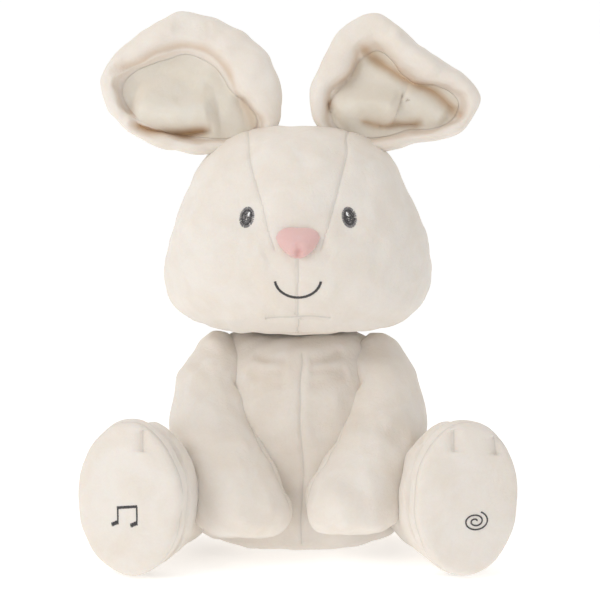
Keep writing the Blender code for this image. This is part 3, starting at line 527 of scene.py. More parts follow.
def noise(tree, vector, scale, detail=2.0, rough=0.5, twist=0.0):
    return put(tree, "ShaderNodeTexNoise", {
        "Vector": vector, "Scale": scale, "Detail": detail, "Roughness": rough, "Distortion": twist,
    }).outputs["Fac"]


def stretched(tree, vector, scale):
    return put(tree, "ShaderNodeMapping", {"Vector": vector, "Scale": scale}).outputs[0]


def new_group(name, takes, gives):
    """A shader node group with named inputs and outputs, and its two end nodes."""
    group = bpy.data.node_groups.new(name, "ShaderNodeTree")
    kinds = {"f": "NodeSocketFloat", "c": "NodeSocketColor", "v": "NodeSocketVector"}
    for label, kind, value in takes:
        socket = group.interface.new_socket(label, in_out="INPUT", socket_type=kinds[kind])
        if value is not None:
            socket.default_value = value
    for label, kind in gives:
        group.interface.new_socket(label, in_out="OUTPUT", socket_type=kinds[kind])
    return group, put(group, "NodeGroupInput"), put(group, "NodeGroupOutput")


def use_group(tree, name, links):
    """Adds a node group, which is made the first time it is used."""
    return put(tree, "ShaderNodeGroup", links, node_tree=bpy.data.node_groups.get(name) or GROUPS[name]())


def pile_group():
    """Short velour: fine pile, brushed streaks, patches where the nap lies another way, and painted shade
    where folds and hollows are marked.
    """
    group, start, end = new_group(
        "Velour pile",
        (("Vector", "v", None), ("Colour", "c", (0.8, 0.8, 0.8, 1)), ("Painted Shade Colour", "c", (0.5, 0.4, 0.3, 1)),
         ("Painted Shade", "f", 0.0), ("Grain", "f", 900.0), ("Nap", "f", 0.06)),
        (("Colour", "c"), ("Roughness", "f"), ("Height", "f")),
    )
    vector, grain = start.outputs["Vector"], start.outputs["Grain"]
    fine = noise(group, vector, grain, 3.0, 0.62)
    brushed = stretched(group, vector, (1.0, 1.0, 0.3))
    streaks = noise(group, brushed, maths(group, "MULTIPLY", grain, 0.55), 2.0)
    patches = noise(group, vector, 48.0, 2.0, 0.55, 0.9)
    broad = noise(group, vector, 17.0, 1.0, 0.5, 0.4)
    tone = maths(group, "ADD", maths(group, "MULTIPLY", ramp(group, patches, 0.3, 0.7), 0.6),
                 maths(group, "MULTIPLY", ramp(group, broad, 0.35, 0.65), 0.4))
    tone = maths(group, "ADD", tone, maths(group, "MULTIPLY", maths(group, "SUBTRACT", fine, 0.5), 0.9))
    shade = maths(group, "MULTIPLY", maths(group, "SUBTRACT", 1.0, tone), start.outputs["Nap"])
    darker = blend_colour(group, 1.0, start.outputs["Colour"], (0.90, 0.84, 0.76, 1), "MULTIPLY")
    lit = blend_colour(group, maths(group, "MULTIPLY", shade, 8.0), start.outputs["Colour"], darker)
    # painted shade: blends towards the shade colour where folds and hollows are marked
    with_painted_shade = blend_colour(group, maths(group, "POWER", start.outputs["Painted Shade"], 1.25), lit,
                          start.outputs["Painted Shade Colour"])
    tufts = noise(group, vector, maths(group, "MULTIPLY", grain, 0.30), 2.0, 0.6, 0.5)
    height = maths(group, "ADD", maths(group, "MULTIPLY", fine, 0.4), maths(group, "MULTIPLY", streaks, 0.3))
    height = maths(group, "ADD", height, maths(group, "MULTIPLY", tufts, 0.9))
    group.links.new(with_painted_shade, end.inputs["Colour"])
    group.links.new(maths(group, "MULTIPLY_ADD", fine, 0.12, 0.86), end.inputs["Roughness"])
    group.links.new(height, end.inputs["Height"])
    return group


def seam_group():
    """A sewn line from a signed distance: its mask, and the dip that its thread pulls."""
    group, start, end = new_group(
        "Sewn line", (("Distance", "f", 1.0), ("Width", "f", 0.0007)), (("Line", "f"), ("Height", "f")),
    )
    away = maths(group, "ABSOLUTE", start.outputs["Distance"])
    width = start.outputs["Width"]
    line = ramp(group, away, maths(group, "MULTIPLY", width, 0.15), width, 1.0, 0.0)
    dip = ramp(group, away, 0.0, maths(group, "MULTIPLY", width, 2.5), -1.0, 0.0)
    group.links.new(line, end.inputs["Line"])
    group.links.new(dip, end.inputs["Height"])
    return group


def moulded_group():
    """Moulded plastic: fine spark texture and faint flow marks."""
    group, start, end = new_group(
        "Moulded plastic",
        (("Vector", "v", None), ("Colour", "c", (0.8, 0.8, 0.8, 1)), ("Gloss", "f", 0.5)),
        (("Colour", "c"), ("Roughness", "f"), ("Height", "f")),
    )
    vector = start.outputs["Vector"]
    spark = noise(group, vector, 2600.0, 2.0, 0.6)
    flow = noise(group, stretched(group, vector, (1.0, 0.4, 0.4)), 120.0, 2.0, 0.5, 0.6)
    dull = blend_colour(group, 1.0, start.outputs["Colour"], (0.88, 0.88, 0.87, 1), "MULTIPLY")
    tone = blend_colour(group, ramp(group, flow, 0.3, 0.75), start.outputs["Colour"], dull)
    rough = maths(group, "ADD", start.outputs["Gloss"], maths(group, "MULTIPLY", flow, 0.14))
    group.links.new(tone, end.inputs["Colour"])
    group.links.new(maths(group, "MULTIPLY_ADD", spark, 0.06, rough), end.inputs["Roughness"])
    group.links.new(spark, end.inputs["Height"])
    return group


def metal_group():
    """Drawn steel: fine streaks along the part, and slight tarnish."""
    group, start, end = new_group(
        "Drawn steel",
        (("Vector", "v", None), ("Colour", "c", (0.6, 0.6, 0.6, 1))),
        (("Colour", "c"), ("Roughness", "f"), ("Height", "f")),
    )
    vector = start.outputs["Vector"]
    streaks = noise(group, stretched(group, vector, (0.08, 1.0, 1.0)), 1800.0, 2.0, 0.6)
    tarnish = noise(group, vector, 260.0, 3.0, 0.6, 0.5)
    worn = blend_colour(group, 1.0, start.outputs["Colour"], (0.80, 0.76, 0.70, 1), "MULTIPLY")
    group.links.new(blend_colour(group, ramp(group, tarnish, 0.45, 0.8), start.outputs["Colour"], worn),
                    end.inputs["Colour"])
    group.links.new(maths(group, "MULTIPLY_ADD", streaks, 0.22, 0.20), end.inputs["Roughness"])
    group.links.new(streaks, end.inputs["Height"])
    return group


GROUPS = {
    "Velour pile": pile_group, "Sewn line": seam_group,
    "Moulded plastic": moulded_group, "Drawn steel": metal_group,
}


def made_once(maker):
    """Makes a material the first time its name is asked for, and finds it again after that."""
    def find(name, *settings):
        return bpy.data.materials.get(name) or maker(name, *settings)
    return find


def new_material(name):
    """A material with its tree, shader and Object coordinates."""
    material = bpy.data.materials.new(name)
    material.use_nodes = True
    tree = material.node_tree
    shader = tree.nodes["Principled BSDF"]
    vector = put(tree, "ShaderNodeTexCoord").outputs["Object"]
    return material, tree, shader, vector


def connect(tree, shader, colour_out, rough_out, height_out, depth, strength=1.0):
    tree.links.new(colour_out, shader.inputs["Base Color"])
    tree.links.new(rough_out, shader.inputs["Roughness"])
    bump = put(tree, "ShaderNodeBump", {"Height": height_out, "Distance": depth, "Strength": strength})
    tree.links.new(bump.outputs[0], shader.inputs["Normal"])


@made_once
def velour(name, colour_of, grain=900.0, nap=0.06, pile=0.0009, painted_shade=None, sheen=0.35):
    """Stuffed velour with its sewn lines, and painted shade in its folds and hollows."""
    colours, fabric = bpy.context.scene.rabbit_colours, bpy.context.scene.rabbit_fabric
    material, tree, shader, vector = new_material(name)
    # painted shade marked on the skin in its folds and hollows
    painted_shade_mask = put(tree, "ShaderNodeAttribute", attribute_name="painted_shade").outputs["Fac"]
    seams = put(tree, "ShaderNodeAttribute", attribute_name="seam").outputs["Fac"]
    near_seam = put(tree, "ShaderNodeAttribute", attribute_name="sewn").outputs["Fac"]
    near_seam = ramp(tree, near_seam, 0.30, 0.62)
    pile_node = use_group(tree, "Velour pile", {
        "Vector": vector, "Colour": (*colour_of, 1), "Painted Shade Colour": (*(painted_shade or colours.painted_shade), 1),
        "Painted Shade": painted_shade_mask, "Grain": grain, "Nap": nap,
    })
    sewn = use_group(tree, "Sewn line", {"Distance": seams, "Width": fabric.seam_width})
    line = maths(tree, "MULTIPLY", sewn.outputs["Line"], near_seam)
    stitched = blend_colour(tree, maths(tree, "MULTIPLY", line, 0.30),
                            pile_node.outputs["Colour"], (*[0.50 * c for c in colour_of], 1))
    height = maths(tree, "ADD", maths(tree, "MULTIPLY", pile_node.outputs["Height"], 0.45),
                   maths(tree, "MULTIPLY", maths(tree, "MULTIPLY", sewn.outputs["Height"], near_seam), 0.45))
    connect(tree, shader, stitched, pile_node.outputs["Roughness"], height, pile, 0.8)
    shader.inputs["Sheen Weight"].default_value = sheen
    shader.inputs["Sheen Roughness"].default_value = 0.45
    shader.inputs["Sheen Tint"].default_value = (1.0, 0.97, 0.92, 1)
    shader.inputs["Subsurface Weight"].default_value = 0.16
    shader.inputs["Subsurface Radius"].default_value = (1.0, 0.55, 0.30)
    shader.inputs["Subsurface Scale"].default_value = 0.0035
    shader.inputs["Specular IOR Level"].default_value = 0.12
    return material


def cream():
    return velour("cream_velour", bpy.context.scene.rabbit_colours.plush)


@made_once
def embroidery(name, colour_of):
    """Twisted rayon thread: its plies as fine streaks, with a soft shine."""
    material, tree, shader, vector = new_material(name)
    plies = noise(tree, stretched(tree, vector, (1.0, 1.0, 1.6)), 5200.0, 2.0, 0.6)
    dyed = noise(tree, vector, 700.0, 1.0)
    paler = tuple(min(1, 1.5 * c) for c in colour_of)
    tone = blend_colour(tree, ramp(tree, dyed, 0.3, 0.7), (*colour_of, 1), (*paler, 1))
    connect(tree, shader, tone, maths(tree, "MULTIPLY_ADD", plies, 0.25, 0.42), plies, 0.0001, 0.6)
    shader.inputs["Sheen Weight"].default_value = 0.25
    return material


@made_once
def moulded(name, colour_of, gloss):
    material, tree, shader, vector = new_material(name)
    node = use_group(tree, "Moulded plastic", {"Vector": vector, "Colour": (*colour_of, 1), "Gloss": gloss})
    connect(tree, shader, *node.outputs[:3], 0.00004, 0.5)
    return material


@made_once
def steel(name):
    material, tree, shader, vector = new_material(name)
    node = use_group(tree, "Drawn steel", {"Vector": vector, "Colour": (0.62, 0.62, 0.63, 1)})
    connect(tree, shader, *node.outputs[:3], 0.00003, 0.5)
    shader.inputs["Metallic"].default_value = 1.0
    return material


@made_once
def patterned(name, base, other, scale, rough, depth, kind="VORONOI"):
    """Board, paper, cell jacket, cable and tape: a base finish with a fine pattern in it."""
    material, tree, shader, vector = new_material(name)
    if kind == "VORONOI":
        pattern = put(tree, "ShaderNodeTexVoronoi", {"Vector": vector, "Scale": scale}).outputs["Distance"]
    elif kind == "WAVE":
        pattern = put(tree, "ShaderNodeTexWave", {
            "Vector": vector, "Scale": scale, "Distortion": 0.6,
        }).outputs["Fac"]
    else:
        pattern = put(tree, "ShaderNodeTexBrick", {
            "Vector": vector, "Scale": scale, "Mortar Size": 0.12, "Color1": (1, 1, 1, 1),
            "Color2": (0.6, 0.6, 0.6, 1), "Mortar": (0, 0, 0, 1),
        }).outputs["Fac"]
    soft = noise(tree, vector, scale * 0.4, 2.0)
    mix = maths(tree, "MULTIPLY", ramp(tree, pattern, 0.2, 0.8), ramp(tree, soft, 0.2, 0.8))
    tone = blend_colour(tree, mix, (*base, 1), (*other, 1))
    connect(tree, shader, tone, maths(tree, "MULTIPLY_ADD", soft, 0.15, rough), pattern, depth, 0.6)
    return material


def node_material(slot):
    """The finish of a mechanism node, by its slot in the record."""
    makers = {
        "shell_plastic": lambda: moulded("shell_plastic", (0.60, 0.61, 0.63), 0.42),
        "gear_plastic": lambda: moulded("gear_plastic", (0.86, 0.84, 0.77), 0.30),
        "button_plastic": lambda: moulded("button_plastic", (0.84, 0.84, 0.85), 0.26),
        "steel": lambda: steel("drawn_steel"),
        "board": lambda: patterned(slot, (0.03, 0.20, 0.09), (0.10, 0.42, 0.20), 420, 0.35, 0.00004, "BRICK"),
        "cone_paper": lambda: patterned(slot, (0.035, 0.035, 0.037), (0.10, 0.10, 0.10), 900, 0.75, 0.0001),
        "cell_jacket": lambda: patterned(
            slot, (0.05, 0.06, 0.10), (0.35, 0.36, 0.38), 60, 0.22, 0.00001, "WAVE"
        ),
        "cable": lambda: patterned("cable", (0.03, 0.03, 0.03), (0.07, 0.07, 0.07), 1200, 0.45, 0.00003),
        "tape": lambda: patterned("tape", (0.76, 0.73, 0.68), (0.58, 0.55, 0.50), 1500, 0.9, 0.0004),
    }
    return makers[slot]()


def dress(obj, material, body, *nodes, slot="plush", fill=None):
    """Gives a fabric piece its finish and its body, and hides the nodes it stands for; its slot is not used.
    """
    # attributes the velour reads, at their empty values: painted shade, seam distance and seam pull
    for name, default in (("painted_shade", 0.0), ("seam", 1.0), ("sewn", 0.0)):
        if name not in obj.data.attributes:
            mark(obj, name, np.full(len(obj.data.vertices), default))
    finish(obj, material, 80)
    if body:
        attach(obj, body)
    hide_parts(*nodes)
    return obj


# Pieces -----------------------------------------------------------------------

HEAD_BASE, HEAD_HEIGHT, HEAD_Y = 0.1215, 0.1185, 0.006
HEAD_RINGS = (
    # share of the height, half width, half depth
    (0, 0.041, 0.033), (0.015, 0.054, 0.043), (0.05, 0.0640, 0.0480), (0.12, 0.0722, 0.0538),
    (0.20, 0.0758, 0.0570), (0.30, 0.0770, 0.0580), (0.41, 0.0752, 0.0568), (0.50, 0.0724, 0.0550),
    (0.60, 0.0683, 0.0522), (0.70, 0.0634, 0.0487), (0.79, 0.0576, 0.0440), (0.86, 0.0520, 0.0394),
    (0.92, 0.0443, 0.0330), (0.965, 0.0345, 0.0248), (1.0, 0.0170, 0.0110),
)
TORSO_Y, TORSO_HEIGHT = 0.017, 0.1211
TORSO_RINGS = (
    (0, 0.0555, 0.0450), (0.05, 0.0615, 0.0510), (0.14, 0.0640, 0.0532), (0.25, 0.0645, 0.0535),
    (0.36, 0.0640, 0.0530), (0.46, 0.0628, 0.0522), (0.58, 0.0602, 0.0510), (0.69, 0.0562, 0.0490),
    (0.79, 0.0515, 0.0452), (0.87, 0.0470, 0.0410), (1.0, 0.0390, 0.0320),
)
ARM_ROWS = (
    # x, y, z and radius, from the shoulder to the tip of the paw
    (0.036, 0.0090, 0.1165, 0.0090), (0.0425, 0.0075, 0.1100, 0.0165), (0.0470, 0.0030, 0.0960, 0.0220),
    (0.0492, -0.0065, 0.0820, 0.0237), (0.0480, -0.0180, 0.0670, 0.0243), (0.0420, -0.0300, 0.0520, 0.0252),
    (0.0342, -0.0405, 0.0370, 0.0268), (0.0290, -0.0475, 0.0265, 0.0268), (0.0280, -0.0510, 0.0200, 0.0245),
    (0.0278, -0.0525, 0.0150, 0.0170),
)
FOOT_PLACE = Vector((0.08848, -0.0836, 0.0421))
FOOT_SIZE = Vector((0.0295, 0.0415))
FOOT_TURN = math.radians(14)
LEG_ROWS = (
    # distance behind the sole's face, share of the half width and of the half height
    (0.100, 0.60, 0.46), (0.088, 0.68, 0.56), (0.070, 0.78, 0.67), (0.055, 0.86, 0.78), (0.040, 0.91, 0.87),
    (0.028, 0.970, 0.955), (0.0185, 0.985, 0.975), (0.0150, 0.975, 0.970), (0.0130, 0.925, 0.94),
    (0.0100, 0.885, 0.91),
    (0.0080, 0.80, 0.84),
)
SOLE_ROWS = (
    # distance in front of the sole's face, share of the half width and of the half height
    (-0.0056, 0.90, 0.925), (-0.0085, 0.925, 0.945), (-0.0106, 0.945, 0.962), (-0.0114, 0.975, 0.982),
    (-0.0100, 0.998, 0.998), (-0.0060, 1.0, 1.0), (-0.0026, 0.985, 0.988), (-0.0006, 0.94, 0.955),
    (0.0006, 0.86, 0.89), (0.0016, 0.70, 0.74), (0.0024, 0.45, 0.48), (0.0027, 0.15, 0.16),
)
# corners of the window in the back that the flap closes
WINDOW = ((-0.0352, 0.0300, 0.0283), (0.0352, 0.0850, 0.0856))

# Ears: the middle of the hollow, then the outline: x away from the body's middle and z in metres,
# and in millimetres the width of the rolled rim and how far it rolls forward
EARS = {
    "right": (
        (0.0615, 0.2570),
        ((0.0120, 0.236, 8, 2), (0.0075, 0.2495, 22, 5), (0.0085, 0.2600, 28, 6), (0.0158, 0.2786, 28, 7),
         (0.0299, 0.2926, 25, 8), (0.0525, 0.3018, 23, 9), (0.0694, 0.3028, 23, 9), (0.0850, 0.2950, 21, 9),
         (0.1035, 0.2790, 14, 8), (0.1122, 0.2646, 11, 7), (0.1095, 0.2510, 9, 6), (0.0985, 0.2370, 9, 6),
         (0.0784, 0.2262, 9, 6), (0.0600, 0.2222, 9, 5), (0.0470, 0.2225, 8, 3), (0.0280, 0.2270, 6, 2)),
    ),
    "left": (
        (0.0590, 0.2540),
        ((0.0120, 0.236, 6, 2), (0.0060, 0.2480, 10, 5), (0.0062, 0.2570, 13, 6), (0.0100, 0.2705, 18, 7),
         (0.0183, 0.2868, 18, 8), (0.0293, 0.2976, 19, 9), (0.0385, 0.3022, 21, 10), (0.0490, 0.3005, 25, 12),
         (0.0600, 0.2915, 25, 12), (0.0803, 0.2758, 18, 11), (0.0965, 0.2660, 15, 9), (0.1038, 0.2565, 12, 7),
         (0.1030, 0.2480, 9, 6), (0.0948, 0.2365, 8, 6), (0.0825, 0.2305, 8, 6), (0.0650, 0.2275, 8, 4),
         (0.0480, 0.2245, 7, 3), (0.0280, 0.2270, 6, 2)),
    ),
}
EAR_MIDDLE = 0.0045  # the y of an ear's rim
EAR_BACK = 0.0165  # how far its back is domed behind the rim

FACE = {
    # eye: x, z, half width, half height and lean; mouth: half width, z of its ends and drop;
    # nose: z, half width and half height
    "eye": (0.0276, 0.188, 0.0040, 0.0058, math.radians(13)),
    "mouth": (0.0123, 0.1555, 0.0100),
    "nose": (0.1748, 0.0142, 0.0090),
}


def require(*nodes):
    """Refuses to sew a piece when the frame lacks a node that it stands for."""
    missing = [name for name in nodes if name not in frame["nodes"]]
    if missing:
        raise RuntimeError(f"the frame has no {missing}")


def on_front(tree, line, back=0.2):
    """Points of the skin in front of a line of x and z."""
    return [lay_on(tree, (x, -back, z), (0, 1, 0))[0] for x, z in line]


def satin(tree, path, half_width, pitch, seed, lift=0.00022, way=(0, 1, 0)):
    """Stitches side by side across a path, sunk at both ends; path is points in front of the skin."""
    path = np.asarray(path, float)
    steps = np.linalg.norm(np.diff(path, axis=0), axis=1)
    length_along = np.concatenate(([0], np.cumsum(steps)))
    count = max(2, int(length_along[-1] / pitch))
    generator = np.random.default_rng(seed)
    out = []
    for t in np.linspace(0, length_along[-1], count):
        i = min(int(np.searchsorted(length_along, t, side="right")) - 1, len(path) - 2)
        along = (path[i + 1] - path[i]) / steps[i]
        middle = path[i] + along * (t - length_along[i])
        across = np.cross(along, way)
        across /= np.linalg.norm(across)
        half = half_width * generator.uniform(0.86, 1.1)
        slant = along * generator.uniform(-0.2, 0.2) * half
        holes = [middle + (across * half + slant) * s for s in (-1, -0.5, 0, 0.5, 1)]
        out.append(stitch(tree, holes, way, lift))
    return out


def stitch(tree, places, way, lift):
    """One thread over the skin between two holes."""
    out = []
    last = len(places) - 1
    for i, place in enumerate(places):
        point, normal = lay_on(tree, place, way)
        rise = -0.0003 + (lift + 0.0003) * math.sin(math.pi * i / last) ** 0.5
        out.append(point + normal * rise)
    return out


class RABBIT_OT_mechanism(bpy.types.Operator):
    """Gives every moulded, metal, paper and taped part of the mechanism its finish"""

    bl_idname = "rabbit.mechanism"
    bl_label = "Finish the mechanism"

    def execute(self, context):
        slots = {part["node"]: part["material_slot"] for part in frame["record"]["subparts"]}
        for name, obj in frame["nodes"].items():
            if slots[name] in ("plush", "lining", "nose", "thread"):
                continue
            obj.data.materials.clear()
            obj.data.materials.append(node_material(slots[name]))
        for word, side in SIDES:
            self.spring(word, side)
        return {"FINISHED"}

    def spring(self, word, side):
        """A steel copy of the return spring, in its place and fixed to the root."""
        name = f"{word}_button_spring"
        activate(frame["nodes"][name])
        bpy.ops.object.duplicate()
        obj = rename(bpy.context.object, f"{word}_return_spring")
        bpy.ops.object.mode_set(mode="EDIT")
        bpy.ops.mesh.select_all(action="SELECT")
        bpy.ops.mesh.remove_doubles(threshold=0.000005)
        bpy.ops.object.mode_set(mode="OBJECT")
        obj.parent = None
        way = Vector((side * math.sin(FOOT_TURN), -math.cos(FOOT_TURN), 0))
        places = [Vector(point).dot(way) for point in read_points(obj)]
        middle = FOOT_PLACE.copy()
        middle.x *= side
        finish(obj, steel("drawn_steel"), 60)
        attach(obj, "root")
        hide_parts(name)
        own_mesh(obj)


class RABBIT_OT_head(bpy.types.Operator):
    """Sews the stuffed head, with its centre seam, two gusset seams and chin seam"""

    bl_idname = "rabbit.head"
    bl_label = "Head"

    def execute(self, context):
        require("head_plush")
        obj = raised("head", [
            (HEAD_BASE + 0.0015 + share * (HEAD_HEIGHT - 0.003), wide, deep, HEAD_Y)
            for share, wide, deep in HEAD_RINGS
        ], 40)
        fabric = context.scene.rabbit_fabric
        gusset = [(0.0100, -0.0480, 0.1650), (0.0140, -0.0480, 0.1760), (0.0185, -0.0440, 0.1900),
                  (0.0225, -0.0400, 0.2040), (0.0265, -0.0340, 0.2180), (0.0290, -0.0240, 0.2310),
                  (0.0290, -0.0080, 0.2380), (0.0280, 0.0200, 0.2360), (0.0250, 0.0420, 0.2200),
                  (0.0180, 0.0590, 0.1850), (0.0080, 0.0620, 0.1500)]
        gussets = [curve_through([(side * x, y, z) for x, y, z in gusset], 4) for _, side in SIDES]
        centre = curve_through([(0, -0.0535, 0.1670), (0, -0.0545, 0.1560), (0, -0.0520, 0.1400),
                                (0, -0.0440, 0.1300), (0, -0.0280, 0.1225)], 4)
        chin = curve_through([(-0.0180, -0.0455, 0.1345), (-0.0090, -0.0470, 0.1350),
                              (0, -0.0480, 0.1350), (0.0090, -0.0470, 0.1350), (0.0180, -0.0455, 0.1345)], 4)
        stuffed(obj, fabric.weave, (*gussets, centre))
        front = (0, -1, 0)
        press(obj, [(-0.0100, -0.0500, 0.1600), (0.0100, -0.0500, 0.1600)], 0.0290, -0.0050, 2.0, ends=0)
        for _, side in SIDES:
            cheek = [(side * 0.0520, -0.0380, 0.1500), (side * 0.0560, -0.0330, 0.1600)]
            press(obj, cheek, 0.0270, -0.0030, 2, ends=0)
            socket = [(side * 0.0276, -0.0480, 0.1885), (side * 0.0270, -0.0480, 0.1910)]
            press(obj, socket, 0.0120, 0.0022, 2, ends=0, facing=front)
            beside_nose = [(side * 0.0060, -0.0520, 0.1740), (side * 0.0180, -0.0500, 0.1670)]
            press(obj, beside_nose, 0.0075, 0.0009, 2, facing=front)
        lumpy(obj, 0.00075, 0.034, 3)
        lumpy(obj, 0.00030, 0.012, 4)
        seam(obj, gussets + [centre, chin])
        # painted shade: in the creases pressed under the chin, and wherever the skin is hollow
        for height, reach in ((0.1262, 0.046), (0.1240, 0.038)):
            press(obj, [(reach * math.cos(a), HEAD_Y - 0.86 * reach * math.sin(a), height) for a in
                        np.linspace(0.25, math.pi - 0.25, 12)], 0.0035, 0.0012, 2, painted_shade=0.35)
        paint_hollow_shade(obj, 0.03, 0.9)
        dress(obj, cream(), "root", "head_plush", fill=0.9)
        return {"FINISHED"}


class RABBIT_OT_face(bpy.types.Operator):
    """Sews on the pink nose and embroiders the eyes and the mouth"""

    bl_idname = "rabbit.face"
    bl_label = "Face"

    def execute(self, context):
        require("nose", "mouth", "left_eye", "right_eye")
        colours, fabric = context.scene.rabbit_colours, context.scene.rabbit_fabric
        tree = skin_of(bpy.data.objects["head"])
        dark = embroidery("dark_thread", colours.thread)
        grey = embroidery("grey_thread", colours.iris)
        white = embroidery("white_thread", colours.glint)
        self.nose(context, tree)
        for word, side in SIDES:
            self.eye(tree, word, side, fabric.thread_radius, dark, grey, white)
        half, top, rise = FACE["mouth"]
        arc = [(half * math.sin(a), -0.2, top - rise * math.cos(a)) for a in np.linspace(-1.42, 1.42, 40)]
        mouth = threads("mouth_stitches", satin(tree, arc, 0.00072, 0.00030, 11), fabric.thread_radius, dark)
        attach(mouth, "root")
        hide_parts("mouth")
        return {"FINISHED"}

    def nose(self, context, tree):
        height, half_width, half_height = FACE["nose"]
        deselect()
        bpy.ops.mesh.primitive_uv_sphere_add(segments=36, ring_count=20, radius=1)
        obj = rename(bpy.context.object, "nose_pad")
        points = read_points(obj)
        x, y, z = points.T
        share = (z + 1) / 2
        wide = half_width * (0.42 + 0.62 * np.clip(share, 0, 1) ** 0.85)
        wide = wide * np.where(z > 0, 1 - 0.06 * np.abs(z) ** 3, 1)
        placed = np.stack((x * wide * 1.05, y * 0.0052, z * half_height), axis=1)
        placed[:, 2] += np.where(z > 0, -0.0011 * np.exp(-((placed[:, 0] / 0.0035) ** 2)) * z, 0)
        placed[:, 2] += np.where(z > 0, 0.0006 * (np.abs(placed[:, 0]) / half_width) ** 2 * z, 0)
        skin = [lay_on(tree, (px, -0.2, pz + height), (0, 1, 0))[0].y for px, _, pz in placed]
        placed[:, 1] += np.array(skin) - 0.0008
        placed[:, 2] += height
        write_points(obj, placed)
        stuffed(obj, 0.0013, levels=1, smooth=4, limit=0.0007)
        # the pucker and crease are pressed in, with painted shade laid in them
        pucker = [(0, -0.062, height - 0.0052), (0, -0.060, height - 0.0090)]
        press(obj, pucker, 0.0022, 0.0016, 2, painted_shade=0.5, ends=0)
        crease = [(-0.0015, -0.062, height + 0.0010), (0.0022, -0.060, height - 0.0048)]
        press(obj, crease, 0.0014, 0.0005, 2, painted_shade=0.2)
        lumpy(obj, 0.00010, 0.005, 6)
        # (0.52, 0.22, 0.21) is the painted shade colour for the nose's creases
        material = velour("nose_velour", context.scene.rabbit_colours.nose, 1300.0, 0.05, 0.0004,
                          (0.52, 0.22, 0.21), 0.3)
        dress(obj, material, "root", "nose", slot="nose", fill=0.9)

    def eye(self, tree, word, side, radius, dark, grey, white):
        middle, height, wide, tall, lean = FACE["eye"]
        cos, sin = math.cos(lean), math.sin(lean)

        def place(a, b):
            across = side * (middle + a * wide * cos - b * tall * sin)
            return (across, -0.2, height + a * wide * sin + b * tall * cos)

        def run(a, b, c, d):
            return stitch(tree, [place(a + (c - a) * t, b + (d - b) * t) for t in (0, 0.33, 0.66, 1)],
                          (0, 1, 0), 0.00020)

        generator = np.random.default_rng(20 + side)
        ring, inner, fill, fleck, glint = [], [], [], [], []
        for turn in np.linspace(0, 2 * math.pi, 70, endpoint=False):
            turn += generator.normal(0, 0.03)
            cx, cy = math.cos(turn), math.sin(turn)
            low = generator.uniform(0.68, 0.76)
            ring.append(run(low * cx, low * cy, 1.02 * cx, 1.02 * cy))
            inner.append(run(0.5 * cx, 0.5 * cy, 0.78 * cx, 0.78 * cy))
        for row in np.linspace(-0.62, 0.62, 25):
            reach = math.sqrt(0.66**2 - row**2) if abs(row) < 0.66 else 0.05
            start = -reach
            while start < reach:
                stop = min(reach, start + generator.uniform(0.35, 0.7))
                target = fleck if generator.uniform() < 0.28 else fill
                first, last = row + generator.normal(0, 0.02), row + generator.normal(0, 0.02)
                target.append(run(start, first, stop, last))
                start = stop
        for row in np.linspace(-0.15, 0.15, 7):
            glint.append(run(-0.36 + 0.2 * abs(row), 0.34 + row, -0.04 - 0.2 * abs(row), 0.34 + row))
        parts = [
            threads(f"{word}_ring", ring, radius * 0.9, grey), threads(f"{word}_inner", inner, radius, dark),
            threads(f"{word}_fill", fill, radius, dark), threads(f"{word}_fleck", fleck, radius, grey),
            threads(f"{word}_glint", glint, radius * 1.5, white),
        ]
        obj = join(f"{word}_eye_stitches", parts)
        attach(obj, "root")
        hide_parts(f"{word}_eye")


